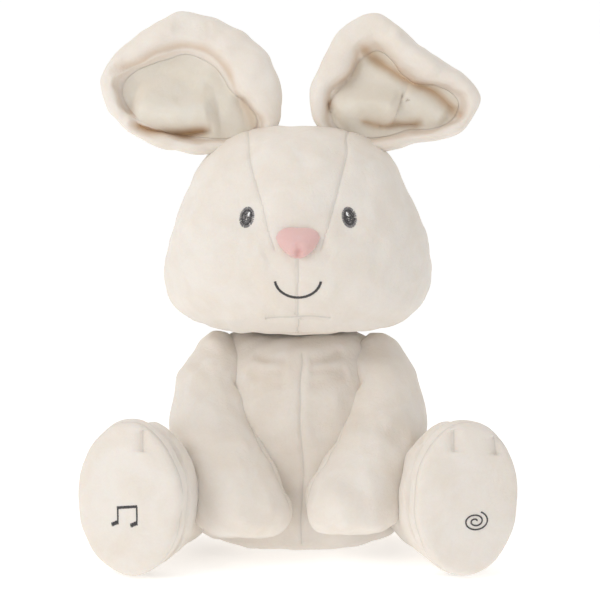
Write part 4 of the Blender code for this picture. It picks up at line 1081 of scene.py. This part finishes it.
class RABBIT_OT_body(bpy.types.Operator):
    """Sews the stuffed body with its belly seam, cuts the window at its back and pads the flap over it"""

    bl_idname = "rabbit.body"
    bl_label = "Body, back flap and tail"

    def execute(self, context):
        require("torso_plush", "back_flap", "tail")
        fabric = context.scene.rabbit_fabric
        obj = raised("torso", [
            (0.0008 + share * (TORSO_HEIGHT - 0.001), wide, deep, TORSO_Y)
            for share, wide, deep in TORSO_RINGS
        ], 40)
        belly = curve_through([(0.001, -0.0250, 0.119), (0.0015, -0.0345, 0.100), (0.002, -0.0385, 0.075),
                               (0.002, -0.0390, 0.050), (0.002, -0.0370, 0.020), (0.002, -0.030, 0.004)], 4)
        back = curve_through([(0, 0.0570, 0.119), (0, 0.0640, 0.104), (0, 0.0680, 0.090)], 4)
        low_back = curve_through([(0, 0.0705, 0.026), (0, 0.0690, 0.010), (0, 0.0650, 0.002)], 3)
        sides = [
            curve_through([(s * 0.0400, 0.0165, 0.118), (s * 0.0600, 0.0170, 0.085),
                           (s * 0.0655, 0.0170, 0.040), (s * 0.0600, 0.0170, 0.004)], 4)
            for _, s in SIDES
        ]
        stuffed(obj, fabric.weave, (belly, back, low_back, *sides), floor=0.003)
        lumpy(obj, 0.0010, 0.028, 31)
        lumpy(obj, 0.00022, 0.011, 32)
        seam(obj, [belly, back, low_back, *sides])
        # painted shade: in the folds pressed at the neck, and wherever the skin is hollow
        for height, depth, width, tilt in ((0.1130, 0.0016, 0.0030, 0.004), (0.1060, 0.0014, 0.0034, -0.003),
                                           (0.0975, 0.0010, 0.0040, 0.003)):
            for _, s in SIDES:
                press(obj, [(s * 0.006, -0.0300, height - 0.002), (s * 0.018, -0.0270, height + tilt * 0.3),
                            (s * 0.030, -0.0190, height + tilt)], width, depth, 2, painted_shade=0.18)
        rest_on_floor(obj, 0.0003)
        paint_hollow_shade(obj, 0.03, 0.8)
        shell = skin_of(obj)
        self.flap(context, shell)
        self.cut(obj)
        dress(obj, cream(), "root", "torso_plush", fill=0.8)
        self.tail(context)
        return {"FINISHED"}

    def cut(self, obj):
        """Takes out the window that the flap closes."""
        low, high = Vector(WINDOW[0]), Vector(WINDOW[1])
        deselect()
        bpy.ops.mesh.primitive_cube_add(size=1, location=(low + high) / 2)
        cutter = bpy.context.object
        cutter.scale = high - low
        bpy.ops.object.transform_apply(location=True, rotation=True, scale=True)
        modify(obj, "BOOLEAN", operation="DIFFERENCE", object=cutter, solver="EXACT")
        bpy.data.objects.remove(cutter)

    def flap(self, context, shell):
        deselect()
        bpy.ops.mesh.primitive_cube_add(size=2)
        obj = rename(bpy.context.object, "flap_pad")
        bpy.ops.object.mode_set(mode="EDIT")
        bpy.ops.mesh.subdivide(number_cuts=15)
        bpy.ops.object.mode_set(mode="OBJECT")
        points = read_points(obj)
        half_x, low, high = 0.0347, 0.0288, 0.0851
        inner = 0.0611
        placed = np.zeros_like(points)
        for i, (x, y, z) in enumerate(points):
            px, pz = x * half_x, low + (z + 1) / 2 * (high - low)
            hit = lay_on(shell, (px, 0.2, pz), (0, -1, 0))[0].y
            edge = min(1 - abs(x), 1 - abs(z))
            round_off = 0.0012 * math.exp(-edge / 0.05)
            outer = hit + 0.0006 - round_off
            placed[i] = (px, inner + (max(outer, inner + 0.002) - inner) * (y + 1) / 2, pz)
        write_points(obj, placed)
        modify(obj, "SMOOTH", factor=0.5, iterations=2)
        swell(obj, placed[:, 1] < inner + 0.002, context.scene.rabbit_fabric.pressure, 0.0010)
        subdivide(obj, 1)
        points = read_points(obj)
        points[:, 1] = np.maximum(points[:, 1], inner)
        write_points(obj, points)
        lumpy(obj, 0.00015, 0.014, 33)
        corners = ((-1, 0.0325), (1, 0.0325), (1, 0.0812), (-1, 0.0812), (-1, 0.0325))
        ring = [(s * 0.0310, 0.0690, z) for s, z in corners]
        ring = [lay_on(shell, (x, 0.2, z), (0, -1, 0))[0] for x, _, z in curve_through(ring, 6)]
        seam(obj, [ring])
        dress(obj, cream(), "back_flap", "back_flap", fill=0.4)

    def tail(self, context):
        deselect()
        low, high = (np.array(corner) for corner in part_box("tail"))
        bpy.ops.mesh.primitive_uv_sphere_add(segments=24, ring_count=14, radius=1)
        obj = rename(bpy.context.object, "tail_pad")
        write_points(obj, read_points(obj) * (high - low) / 2 * 0.95 + (low + high) / 2)
        stuffed(obj, 0.0026, limit=0.0012, smooth=3)
        lumpy(obj, 0.0006, 0.008, 41)
        rest_on_floor(obj, 0.0004)
        seam(obj, [curve_through([(0, 0.0760, 0.0280), (0, 0.0860, 0.0240), (0, 0.0900, 0.0145),
                                  (0, 0.0860, 0.005), (0, 0.0760, 0.001)], 3)])
        dress(obj, cream(), "root", "tail", fill=0.9)


class RABBIT_OT_arms(bpy.types.Operator):
    """Sews the two stuffed arms, which bend where they join the body"""

    bl_idname = "rabbit.arms"
    bl_label = "Arms"

    def execute(self, context):
        require("left_arm", "right_arm")
        fabric = context.scene.rabbit_fabric
        for word, side in SIDES:
            lift = 0.0018 if side > 0 else 0.0
            rows = [(side * x, y, z + lift * (z < 0.06), radius) for x, y, z, radius in ARM_ROWS]
            obj = sausage(f"{word}_arm_pad", curve_through(rows, 4), 16)
            inner = curve_through([(side * 0.0290, 0.000, 0.110), (side * 0.0262, -0.018, 0.086),
                                   (side * 0.0200, -0.040, 0.060), (side * 0.0080, -0.050, 0.040),
                                   (side * 0.0060, -0.052, 0.020), (side * 0.0150, -0.055, 0.006)], 4)
            outer = curve_through([(side * 0.0560, 0.010, 0.112), (side * 0.0690, 0.004, 0.092),
                                   (side * 0.0700, -0.016, 0.070), (side * 0.0620, -0.034, 0.048),
                                   (side * 0.0560, -0.045, 0.025), (side * 0.0450, -0.050, 0.006)], 4)
            stuffed(obj, fabric.weave, (inner, outer), floor=0.0025, smooth=6)
            lumpy(obj, 0.0008, 0.026, 51 + side)
            lumpy(obj, 0.0003, 0.011, 61 + side)
            seam(obj, [inner, outer])
            # painted shade: in the creases pressed at the paw and along the arm, and wherever the skin is
            # hollow
            paw = [(side * 0.0150, -0.0690, 0.0230), (side * 0.0190, -0.0715, 0.0170),
                   (side * 0.0230, -0.0690, 0.0110)]
            press(obj, paw, 0.0026, 0.0007, 2, painted_shade=0.10)
            press(obj, [(side * 0.0270, -0.0100, 0.1020), (side * 0.0300, -0.0160, 0.0960),
                        (side * 0.0370, -0.0180, 0.0920)], 0.0036, 0.0016, 2, painted_shade=0.35)
            press(obj, [(side * 0.0270, -0.0300, 0.0700), (side * 0.0400, -0.0400, 0.0690),
                        (side * 0.0560, -0.0330, 0.0660)], 0.0060, 0.0011, 2, painted_shade=0.06)
            rest_on_floor(obj, 0.0004)
            points = read_points(obj)
            points[:, 0] = side * np.maximum(side * points[:, 0], 0.0006)
            write_points(obj, points)
            paint_hollow_shade(obj, 0.025, 0.7)
            dress(obj, cream(), None, f"{word}_arm", fill=0.8)
            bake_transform(obj)
        return {"FINISHED"}


class RABBIT_OT_feet(bpy.types.Operator):
    """Sews the legs, and the soles that are pressed, with a pair of notes and a spiral embroidered on them"""

    bl_idname = "rabbit.feet"
    bl_label = "Legs and soles"

    def execute(self, context):
        require("left_leg", "right_leg", "left_sole", "right_sole")
        for word, side in SIDES:
            turn = side * FOOT_TURN
            matrix = Matrix(((math.cos(turn), 0, math.sin(turn), side * FOOT_PLACE.x),
                             (math.sin(turn), 0, -math.cos(turn), FOOT_PLACE.y),
                             (0, 1, 0, FOOT_PLACE.z), (0, 0, 0, 1)))
            self.leg(context, word, side, matrix)
            self.sole(context, word, side, matrix)
        return {"FINISHED"}

    def leg(self, context, word, side, matrix):
        wide, tall = FOOT_SIZE
        obj = raised(f"{word}_leg_pad", [
            (-back, across * wide, up * tall, -(1 - up) * tall + 0.0004) for back, across, up in LEG_ROWS
        ], 32)
        place_mesh(obj, matrix)
        top = [matrix @ Vector((0, (2 * up - 1) * tall, -back)) for back, _, up in LEG_ROWS]
        stuffed(obj, 0.0036, (curve_through(top, 3),), floor=0.003, smooth=4)
        lumpy(obj, 0.0005, 0.024, 71 + side)
        lumpy(obj, 0.0002, 0.011, 73 + side)
        seam(obj, [curve_through(top, 3)])
        # painted shade: in the creases pressed on the leg, and wherever the skin is hollow
        for across, start, stop in ((0.62, 0.018, 0.034), (-0.70, 0.018, 0.032), (0.05, 0.018, 0.040)):
            height = tall * math.sqrt(1 - across**2)
            ends = [matrix @ Vector((across * wide, height, -back)) for back in (start, stop)]
            press(obj, ends, 0.0024, 0.0010, 2, painted_shade=0.12)
        rest_on_floor(obj, 0.0004)
        points = read_points(obj)
        local = (points - np.array(matrix.translation)) @ np.array(matrix.to_3x3())
        local[:, 2] = np.minimum(local[:, 2], -0.0090)
        # the rim of the sole slides over this narrower end
        round_off = np.hypot(local[:, 0] / wide, local[:, 1] / tall)
        room = np.interp(-local[:, 2], (0.0090, 0.0152, 0.0178, 0.0210), (0.875, 0.895, 0.960, 1.20))
        local[:, :2] *= np.minimum(1, room / np.maximum(round_off, 1e-6))[:, None]
        write_points(obj, local @ np.array(matrix.to_3x3()).T + np.array(matrix.translation))
        paint_hollow_shade(obj, 0.02, 0.7)
        dress(obj, cream(), "root", f"{word}_leg", fill=0.8)

    def sole(self, context, word, side, matrix):
        fabric = context.scene.rabbit_fabric
        wide, tall = FOOT_SIZE
        rings = [(z, across * wide, up * tall, 0) for z, across, up in SOLE_ROWS]
        obj = raised(f"{word}_sole_pad", rings, 40)
        modify(obj, "REMESH", mode="VOXEL", voxel_size=0.0013)
        modify(obj, "SMOOTH", factor=0.5, iterations=3)
        points = read_points(obj)
        swell(obj, points[:, 2] < -0.004, fabric.pressure, 0.0012)
        subdivide(obj, 1)
        lumpy(obj, 0.0003, 0.017, 81 + side)
        seams, darts = [], []
        turns = np.linspace(0, 2 * math.pi, 49)
        rim = [(wide * 0.985 * math.cos(a), tall * 0.985 * math.sin(a), -0.0036) for a in turns]
        seams.append(np.array(rim))
        places = (0.30,) if side < 0 else (-0.28, 0.52)
        for across in places:
            top = tall * math.sqrt(1 - across**2)
            seams.append(np.array([(across * wide, top * t, 0.0) for t in (0.96, 0.86, 0.75, 0.66)]))
            darts.append(([(across * wide, top * 0.95, 0.0), (across * wide * 0.98, top * 0.66, 0.002)]))
        seam(obj, seams)
        # darts pressed in, with painted shade laid in them
        for dart in darts:
            press(obj, dart, 0.0042, 0.0011, 2, painted_shade=0.10)
        place_mesh(obj, matrix)
        dress(obj, cream(), f"{word}_foot_button", f"{word}_sole", fill=0.7)
        self.icon(context, obj, word, side, matrix)

    def icon(self, context, sole, word, side, matrix):
        """The notes on the right sole, the spiral on the left; x and y in the sole's own plane."""
        radius = context.scene.rabbit_fabric.thread_radius
        tree = skin_of(sole)
        way = tuple(matrix.to_3x3() @ Vector((0, 0, -1)))

        def out(points):
            return [tuple(matrix @ Vector((x, y, 0.05))) for x, y in points]

        strands = []
        if side < 0:
            for x in (-0.0062, 0.0042):
                head = [(x + 0.0016 * t, -0.0118 + 0.0007 * t) for t in np.linspace(-1, 1, 9)]
                strands += satin(tree, out(head), 0.00125, 0.00032, 91, way=way)
                stem = [(x + 0.0016, -0.0112), (x + 0.0018, -0.0030)]
                strands += satin(tree, out(stem), 0.00042, 0.00034, 92, way=way)
            beam = [(-0.0046, -0.0034), (0.0062, -0.0022)]
            strands += satin(tree, out(beam), 0.00085, 0.00032, 93, way=way)
        else:
            line = []
            for a in np.linspace(0.4, 4.35 * math.pi, 90):
                grow = 0.12 + 0.88 * a / (4.35 * math.pi)
                line.append((0.0030 + 0.0072 * grow * math.cos(a), -0.0105 + 0.0052 * grow * math.sin(a)))
            strands += satin(tree, out(line), 0.00038, 0.00034, 94, way=way)
        name = "notes" if side < 0 else "spiral"
        dark = embroidery("dark_thread", context.scene.rabbit_colours.thread)
        obj = threads(name, strands, radius * 0.9, dark)
        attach(obj, f"{word}_foot_button")


class RABBIT_OT_ears(bpy.types.Operator):
    """Sews the two padded ears with rolled rims, and the lining in the hollow of each"""

    bl_idname = "rabbit.ears"
    bl_label = "Ears and linings"

    def execute(self, context):
        require("left_ear", "right_ear", "left_ear_lining", "right_ear_lining")
        for word, side in SIDES:
            obj = self.pad(word, side)
            lining = self.lining(context, obj, word)
            # painted shade wherever the ear's skin is hollow
            paint_hollow_shade(obj, 0.03, 1.1)
            dress(obj, cream(), None, f"{word}_ear", fill=0.6)
            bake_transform(obj)
            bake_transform(lining)
        return {"FINISHED"}

    def pad(self, word, side):
        (cx, cz), rows = EARS[word]
        around, rings = 72, 30
        outline = curve_through(np.array(rows), 12, closed=True)
        angle = np.arctan2(outline[:, 1] - cz, outline[:, 0] - cx)
        order = np.argsort(angle)
        angle, outline = angle[order], outline[order]
        deselect()
        bpy.ops.mesh.primitive_uv_sphere_add(segments=around, ring_count=rings, radius=1)
        obj = rename(bpy.context.object, f"{word}_ear_pad")
        bpy.ops.object.mode_set(mode="EDIT")
        bpy.ops.mesh.select_all(action="SELECT")
        bpy.ops.transform.rotate(value=math.pi / 2, orient_axis="X", center_override=(0, 0, 0))
        bpy.ops.object.mode_set(mode="OBJECT")
        points = read_points(obj)
        turn = np.arctan2(points[:, 2], points[:, 0])
        polar = np.arccos(np.clip(-points[:, 1], -1, 1)) / math.pi
        wrap = np.concatenate((angle - 2 * math.pi, angle, angle + 2 * math.pi))
        edge = np.stack([np.interp(turn, wrap, np.tile(outline[:, k], 3)) for k in range(4)], axis=1)
        away = edge[:, :2] - (cx, cz)
        reach = np.linalg.norm(away, axis=1)
        roll, forward = edge[:, 2] * 0.001, edge[:, 3] * 0.001
        roll = np.minimum(roll, reach * 0.6)
        inward = np.zeros(len(points))
        depth = np.zeros(len(points))
        for i, share in enumerate(polar):
            if share < 0.28:
                t = share / 0.28
                inward[i] = reach[i] - (reach[i] - roll[i]) * t
                depth[i] = -forward[i] * 0.10 + 0.0008 * t**2 - 0.0026 * (1 - t**2)
            elif share < 0.60:
                t = (share - 0.28) / 0.32
                a = math.pi * (1 - t)
                inward[i] = roll[i] * 0.5 * (1 - math.cos(a))
                low = 0.0008 - forward[i] * 0.10
                rise = -forward[i] - 0.0055
                depth[i] = low * (1 - t) ** 2 + rise * math.sin(math.pi * min(1, t * 0.93)) ** 0.85
            else:
                t = (share - 0.60) / 0.40
                inward[i] = reach[i] * t
                depth[i] = EAR_BACK * math.sin(math.pi / 2 * t ** 0.55)
        scale = 1 - inward / reach
        placed = np.stack((
            side * (cx + away[:, 0] * scale), EAR_MIDDLE + depth, cz + away[:, 1] * scale,
        ), axis=1)
        write_points(obj, placed)
        mark(obj, "inner", (polar < 0.29).astype(float))
        activate(obj)
        bpy.ops.object.mode_set(mode="EDIT")
        bpy.ops.mesh.select_all(action="SELECT")
        bpy.ops.mesh.remove_doubles(threshold=0.00001)
        bpy.ops.mesh.normals_make_consistent(inside=False)
        bpy.ops.object.mode_set(mode="OBJECT")
        modify(obj, "SMOOTH", factor=0.5, iterations=3)
        from_middle = near(read_points(obj), [(side * cx, 0, cz), (side * cx, 0.003, cz)])[0]
        middle = (marked(obj, "inner") > 0.5) & (from_middle < 0.014)
        group = obj.vertex_groups.new(name="middle")
        group.add([int(i) for i in np.nonzero(middle)[0]], 1.0, "REPLACE")
        modify(obj, "SMOOTH", factor=0.5, iterations=25, vertex_group="middle")
        obj.vertex_groups.clear()
        held = marked(obj, "inner") > 0.5
        swell(obj, held, bpy.context.scene.rabbit_fabric.pressure, 0.0020)
        subdivide(obj, 2)
        # each stroke presses the skin and lays its painted shade along it
        for line, width, depth, sharp, painted_shade in EAR_FOLDS[word]:
            stroke = on_front(skin_of(obj), [(side * x, z) for x, z in curve_through(line, 4)])
            press(obj, [tuple(place) for place in stroke], width, depth, sharp, painted_shade, direction=(0, 1, 0))
        points = read_points(obj)
        over_lever = (np.abs(points[:, 0]) < 0.0460) & (points[:, 2] < 0.2670) & (read_normals(obj)[:, 1] < 0)
        points[:, 1] = np.where(over_lever, np.minimum(points[:, 1], 0.0050), points[:, 1])
        write_points(obj, points)
        modify(obj, "SMOOTH", factor=0.5, iterations=3)
        lumpy(obj, 0.0006, 0.022, 101 + side)
        lumpy(obj, 0.0002, 0.010, 103 + side)
        rim = curve_through([(side * x, EAR_MIDDLE + 0.0015, z) for x, z, _, _ in rows[1:-2]], 6)
        seam(obj, [rim])
        return obj

    def lining(self, context, ear, word):
        """The panel sewn over the hollow, in the plush velour made darker and warmer as painted shade."""
        activate(ear)
        bpy.ops.object.duplicate()
        obj = rename(bpy.context.object, f"{word}_lining_panel")
        inner = marked(obj, "inner")
        mesh = bmesh.new()
        mesh.from_mesh(obj.data)
        mesh.verts.ensure_lookup_table()
        bmesh.ops.delete(mesh, geom=[v for v in mesh.verts if inner[v.index] < 0.85], context="VERTS")
        mesh.to_mesh(obj.data)
        mesh.free()
        write_points(obj, read_points(obj) + read_normals(obj) * 0.0006)
        modify(obj, "SOLIDIFY", thickness=0.0005, offset=-1.0)
        (cx, cz), _ = EARS[word]
        points = read_points(obj)
        apart = np.hypot(np.abs(points[:, 0]) - cx, points[:, 2] - cz)
        # the painted shade fades out towards the middle of the hollow
        mark(obj, "painted_shade", marked(obj, "painted_shade") * np.clip((apart - 0.004) / 0.006, 0, 1))
        # painted shade: the lining's colour is the plush made a little darker and warmer for the hollow of
        # the ear
        colour_of = tuple(k * c for k, c in zip((0.985, 0.955, 0.905), context.scene.rabbit_colours.plush))
        material = velour("shaded_lining_velour", colour_of, 760.0, 0.06, 0.0006)
        dress(obj, material, None, f"{word}_ear_lining", slot="lining")
        return obj


# Strokes pressed into the front of each ear: line of x and z, width, depth, sharpness and the painted shade
# laid in the crease
EAR_FOLDS = {
    "right": (
        (((0.0930, 0.2520), (0.0780, 0.2470), (0.0620, 0.2450), (0.0460, 0.2470)), 0.0090, -0.0090, 2, 0.0),
        (((0.0950, 0.2410), (0.0800, 0.2350), (0.0640, 0.2345), (0.0480, 0.2375)), 0.0034, 0.0070, 2, 1.0),
        (((0.1054, 0.2682), (0.0898, 0.2738), (0.0797, 0.2804), (0.0657, 0.2826), (0.0524, 0.2815),
          (0.0440, 0.2755), (0.0390, 0.2680), (0.0340, 0.2560)), 0.0032, 0.0032, 2, 0.50),
        (((0.0960, 0.2620), (0.0800, 0.2660), (0.0660, 0.2640), (0.0540, 0.2590)), 0.0060, 0.0016, 2, 0.10),
        (((0.0480, 0.2640), (0.0560, 0.2560), (0.0700, 0.2520)), 0.0050, 0.0014, 2, 0.10),
        (((0.0240, 0.2340), (0.0270, 0.2450), (0.0330, 0.2560)), 0.0040, 0.0030, 2, 0.45),
        (((0.0480, 0.2950), (0.0560, 0.2930), (0.0700, 0.2940)), 0.0050, 0.0010, 2, 0.0),
    ),
    "left": (
        (((0.0330, 0.2840), (0.0490, 0.2730), (0.0605, 0.2650), (0.0770, 0.2585), (0.0890, 0.2475),
          (0.0934, 0.2427)), 0.0032, 0.0046, 2, 0.80),
        (((0.0347, 0.2835), (0.0303, 0.2669), (0.0163, 0.2585), (0.0200, 0.2470)), 0.0032, 0.0034, 2, 0.45),
        (((0.0218, 0.2445), (0.0300, 0.2500), (0.0420, 0.2515), (0.0560, 0.2480)), 0.0075, -0.0125, 2, 0.0),
        (((0.0346, 0.2430), (0.0440, 0.2385), (0.0569, 0.2400), (0.0720, 0.2400)), 0.0028, 0.0048, 2, 0.75),
        (((0.0600, 0.2560), (0.0720, 0.2500), (0.0830, 0.2430)), 0.0060, -0.0030, 2, 0.0),
        (((0.0500, 0.2900), (0.0640, 0.2820), (0.0800, 0.2690)), 0.0070, -0.0025, 2, 0.0),
    ),
}


class RABBIT_OT_stage(bpy.types.Operator):
    """Sets the camera, a pale sweep and soft studio light"""

    bl_idname = "rabbit.stage"
    bl_label = "Stage"

    def execute(self, context):
        stage = context.scene.rabbit_stage
        deselect()
        bpy.ops.mesh.primitive_plane_add(size=1)
        sweep = rename(bpy.context.object, "sweep")
        bpy.ops.object.mode_set(mode="EDIT")
        bpy.ops.mesh.select_all(action="SELECT")
        bpy.ops.transform.resize(value=(8, 6, 1), center_override=(0, 0, 0))
        bpy.ops.mesh.select_mode(type="EDGE")
        bpy.ops.mesh.select_all(action="DESELECT")
        bpy.ops.object.mode_set(mode="OBJECT")
        for edge in sweep.data.edges:
            edge.select = all(sweep.data.vertices[i].co.y > 0 for i in edge.vertices)
        bpy.ops.object.mode_set(mode="EDIT")
        for a in np.linspace(0, math.pi / 2, 9)[1:]:
            step = math.pi / 16
            bpy.ops.mesh.extrude_region_move(TRANSFORM_OT_translate={
                "value": (0, 0.3 * math.cos(a - step / 2), 0.3 * math.sin(a - step / 2)),
            })
        bpy.ops.mesh.extrude_region_move(TRANSFORM_OT_translate={"value": (0, 0, 4)})
        bpy.ops.mesh.select_all(action="SELECT")
        bpy.ops.mesh.normals_make_consistent(inside=False)
        bpy.ops.object.mode_set(mode="OBJECT")
        material, tree, shader, vector = new_material("sweep_paper")
        grain = noise(tree, vector, 40.0, 3.0, 0.6)
        tone = blend_colour(tree, ramp(tree, grain, 0.3, 0.7), (0.92, 0.92, 0.915, 1), (0.90, 0.90, 0.895, 1))
        connect(tree, shader, tone, maths(tree, "MULTIPLY_ADD", grain, 0.1, 0.9), grain, 0.0002, 0.2)
        shader.inputs["Specular IOR Level"].default_value = 0.1
        shader.inputs["Emission Color"].default_value = (1, 1, 1, 1)
        shader.inputs["Emission Strength"].default_value = 0.40
        finish(sweep, material)

        aim = Vector((stage.aim_side, 0, stage.aim_height))
        away = Vector((0, -math.cos(stage.elevation), math.sin(stage.elevation))) * stage.distance
        bpy.ops.object.camera_add(location=aim + away)
        camera = bpy.context.object
        camera.rotation_euler = (-away).to_track_quat("-Z", "Y").to_euler()
        camera.data.lens = stage.lens
        camera.data.dof.use_dof = False
        context.scene.camera = camera

        for name, place, size, power, warmth in (
            ("key", (-0.95, -0.90, 1.00), 0.8, stage.key, (1.0, 0.97, 0.93)),
            ("top", (0.1, -0.1, 1.5), 1.2, stage.key * 0.55, (1.0, 0.99, 0.97)),
        ):
            bpy.ops.object.light_add(type="AREA", location=place)
            lamp = bpy.context.object
            lamp.name = name
            lamp.rotation_euler = (Vector((0, 0, 0.14)) - Vector(place)).to_track_quat("-Z", "Y").to_euler()
            lamp.data.energy = power
            lamp.data.size = size
            lamp.data.color = warmth
        world = bpy.data.worlds.new("studio")
        world.use_nodes = True
        world.node_tree.nodes["Background"].inputs["Color"].default_value = (1.0, 0.995, 0.985, 1)
        world.node_tree.nodes["Background"].inputs["Strength"].default_value = stage.fill
        context.scene.world = world
        context.scene.view_settings.view_transform = "Standard"
        return {"FINISHED"}


OPERATORS = (
    RABBIT_OT_mechanism, RABBIT_OT_head, RABBIT_OT_face, RABBIT_OT_body, RABBIT_OT_arms, RABBIT_OT_feet,
    RABBIT_OT_ears, RABBIT_OT_stage,
)


class RABBIT_PT_panel(bpy.types.Panel):
    """Lists the rabbit's pieces in the order they are made"""

    bl_idname = "RABBIT_PT_panel"
    bl_label = "Plush Rabbit"
    bl_space_type = "VIEW_3D"
    bl_region_type = "UI"
    bl_category = "Rabbit"

    def draw(self, context):
        for operator in OPERATORS:
            self.layout.operator(operator.bl_idname)
        for group in (context.scene.rabbit_colours, context.scene.rabbit_fabric, context.scene.rabbit_stage):
            box = self.layout.box()
            for name in group.__annotations__:
                box.prop(group, name)


GROUP_TYPES = (
    ("rabbit_colours", RabbitColours), ("rabbit_fabric", RabbitFabric), ("rabbit_stage", RabbitStage),
)


def register():
    for name, kind in GROUP_TYPES:
        bpy.utils.register_class(kind)
        setattr(bpy.types.Scene, name, PointerProperty(type=kind))
    for kind in (*OPERATORS, RABBIT_PT_panel):
        bpy.utils.register_class(kind)


def unregister():
    for kind in (RABBIT_PT_panel, *reversed(OPERATORS)):
        bpy.utils.unregister_class(kind)
    for name, kind in reversed(GROUP_TYPES):
        delattr(bpy.types.Scene, name)
        bpy.utils.unregister_class(kind)


def main():
    register()
    bpy.ops.rabbit.mechanism()
    bpy.ops.rabbit.head()
    bpy.ops.rabbit.face()
    bpy.ops.rabbit.body()
    bpy.ops.rabbit.arms()
    bpy.ops.rabbit.feet()
    bpy.ops.rabbit.ears()
    bpy.ops.rabbit.stage()


if __name__ == "__main__":
    main()
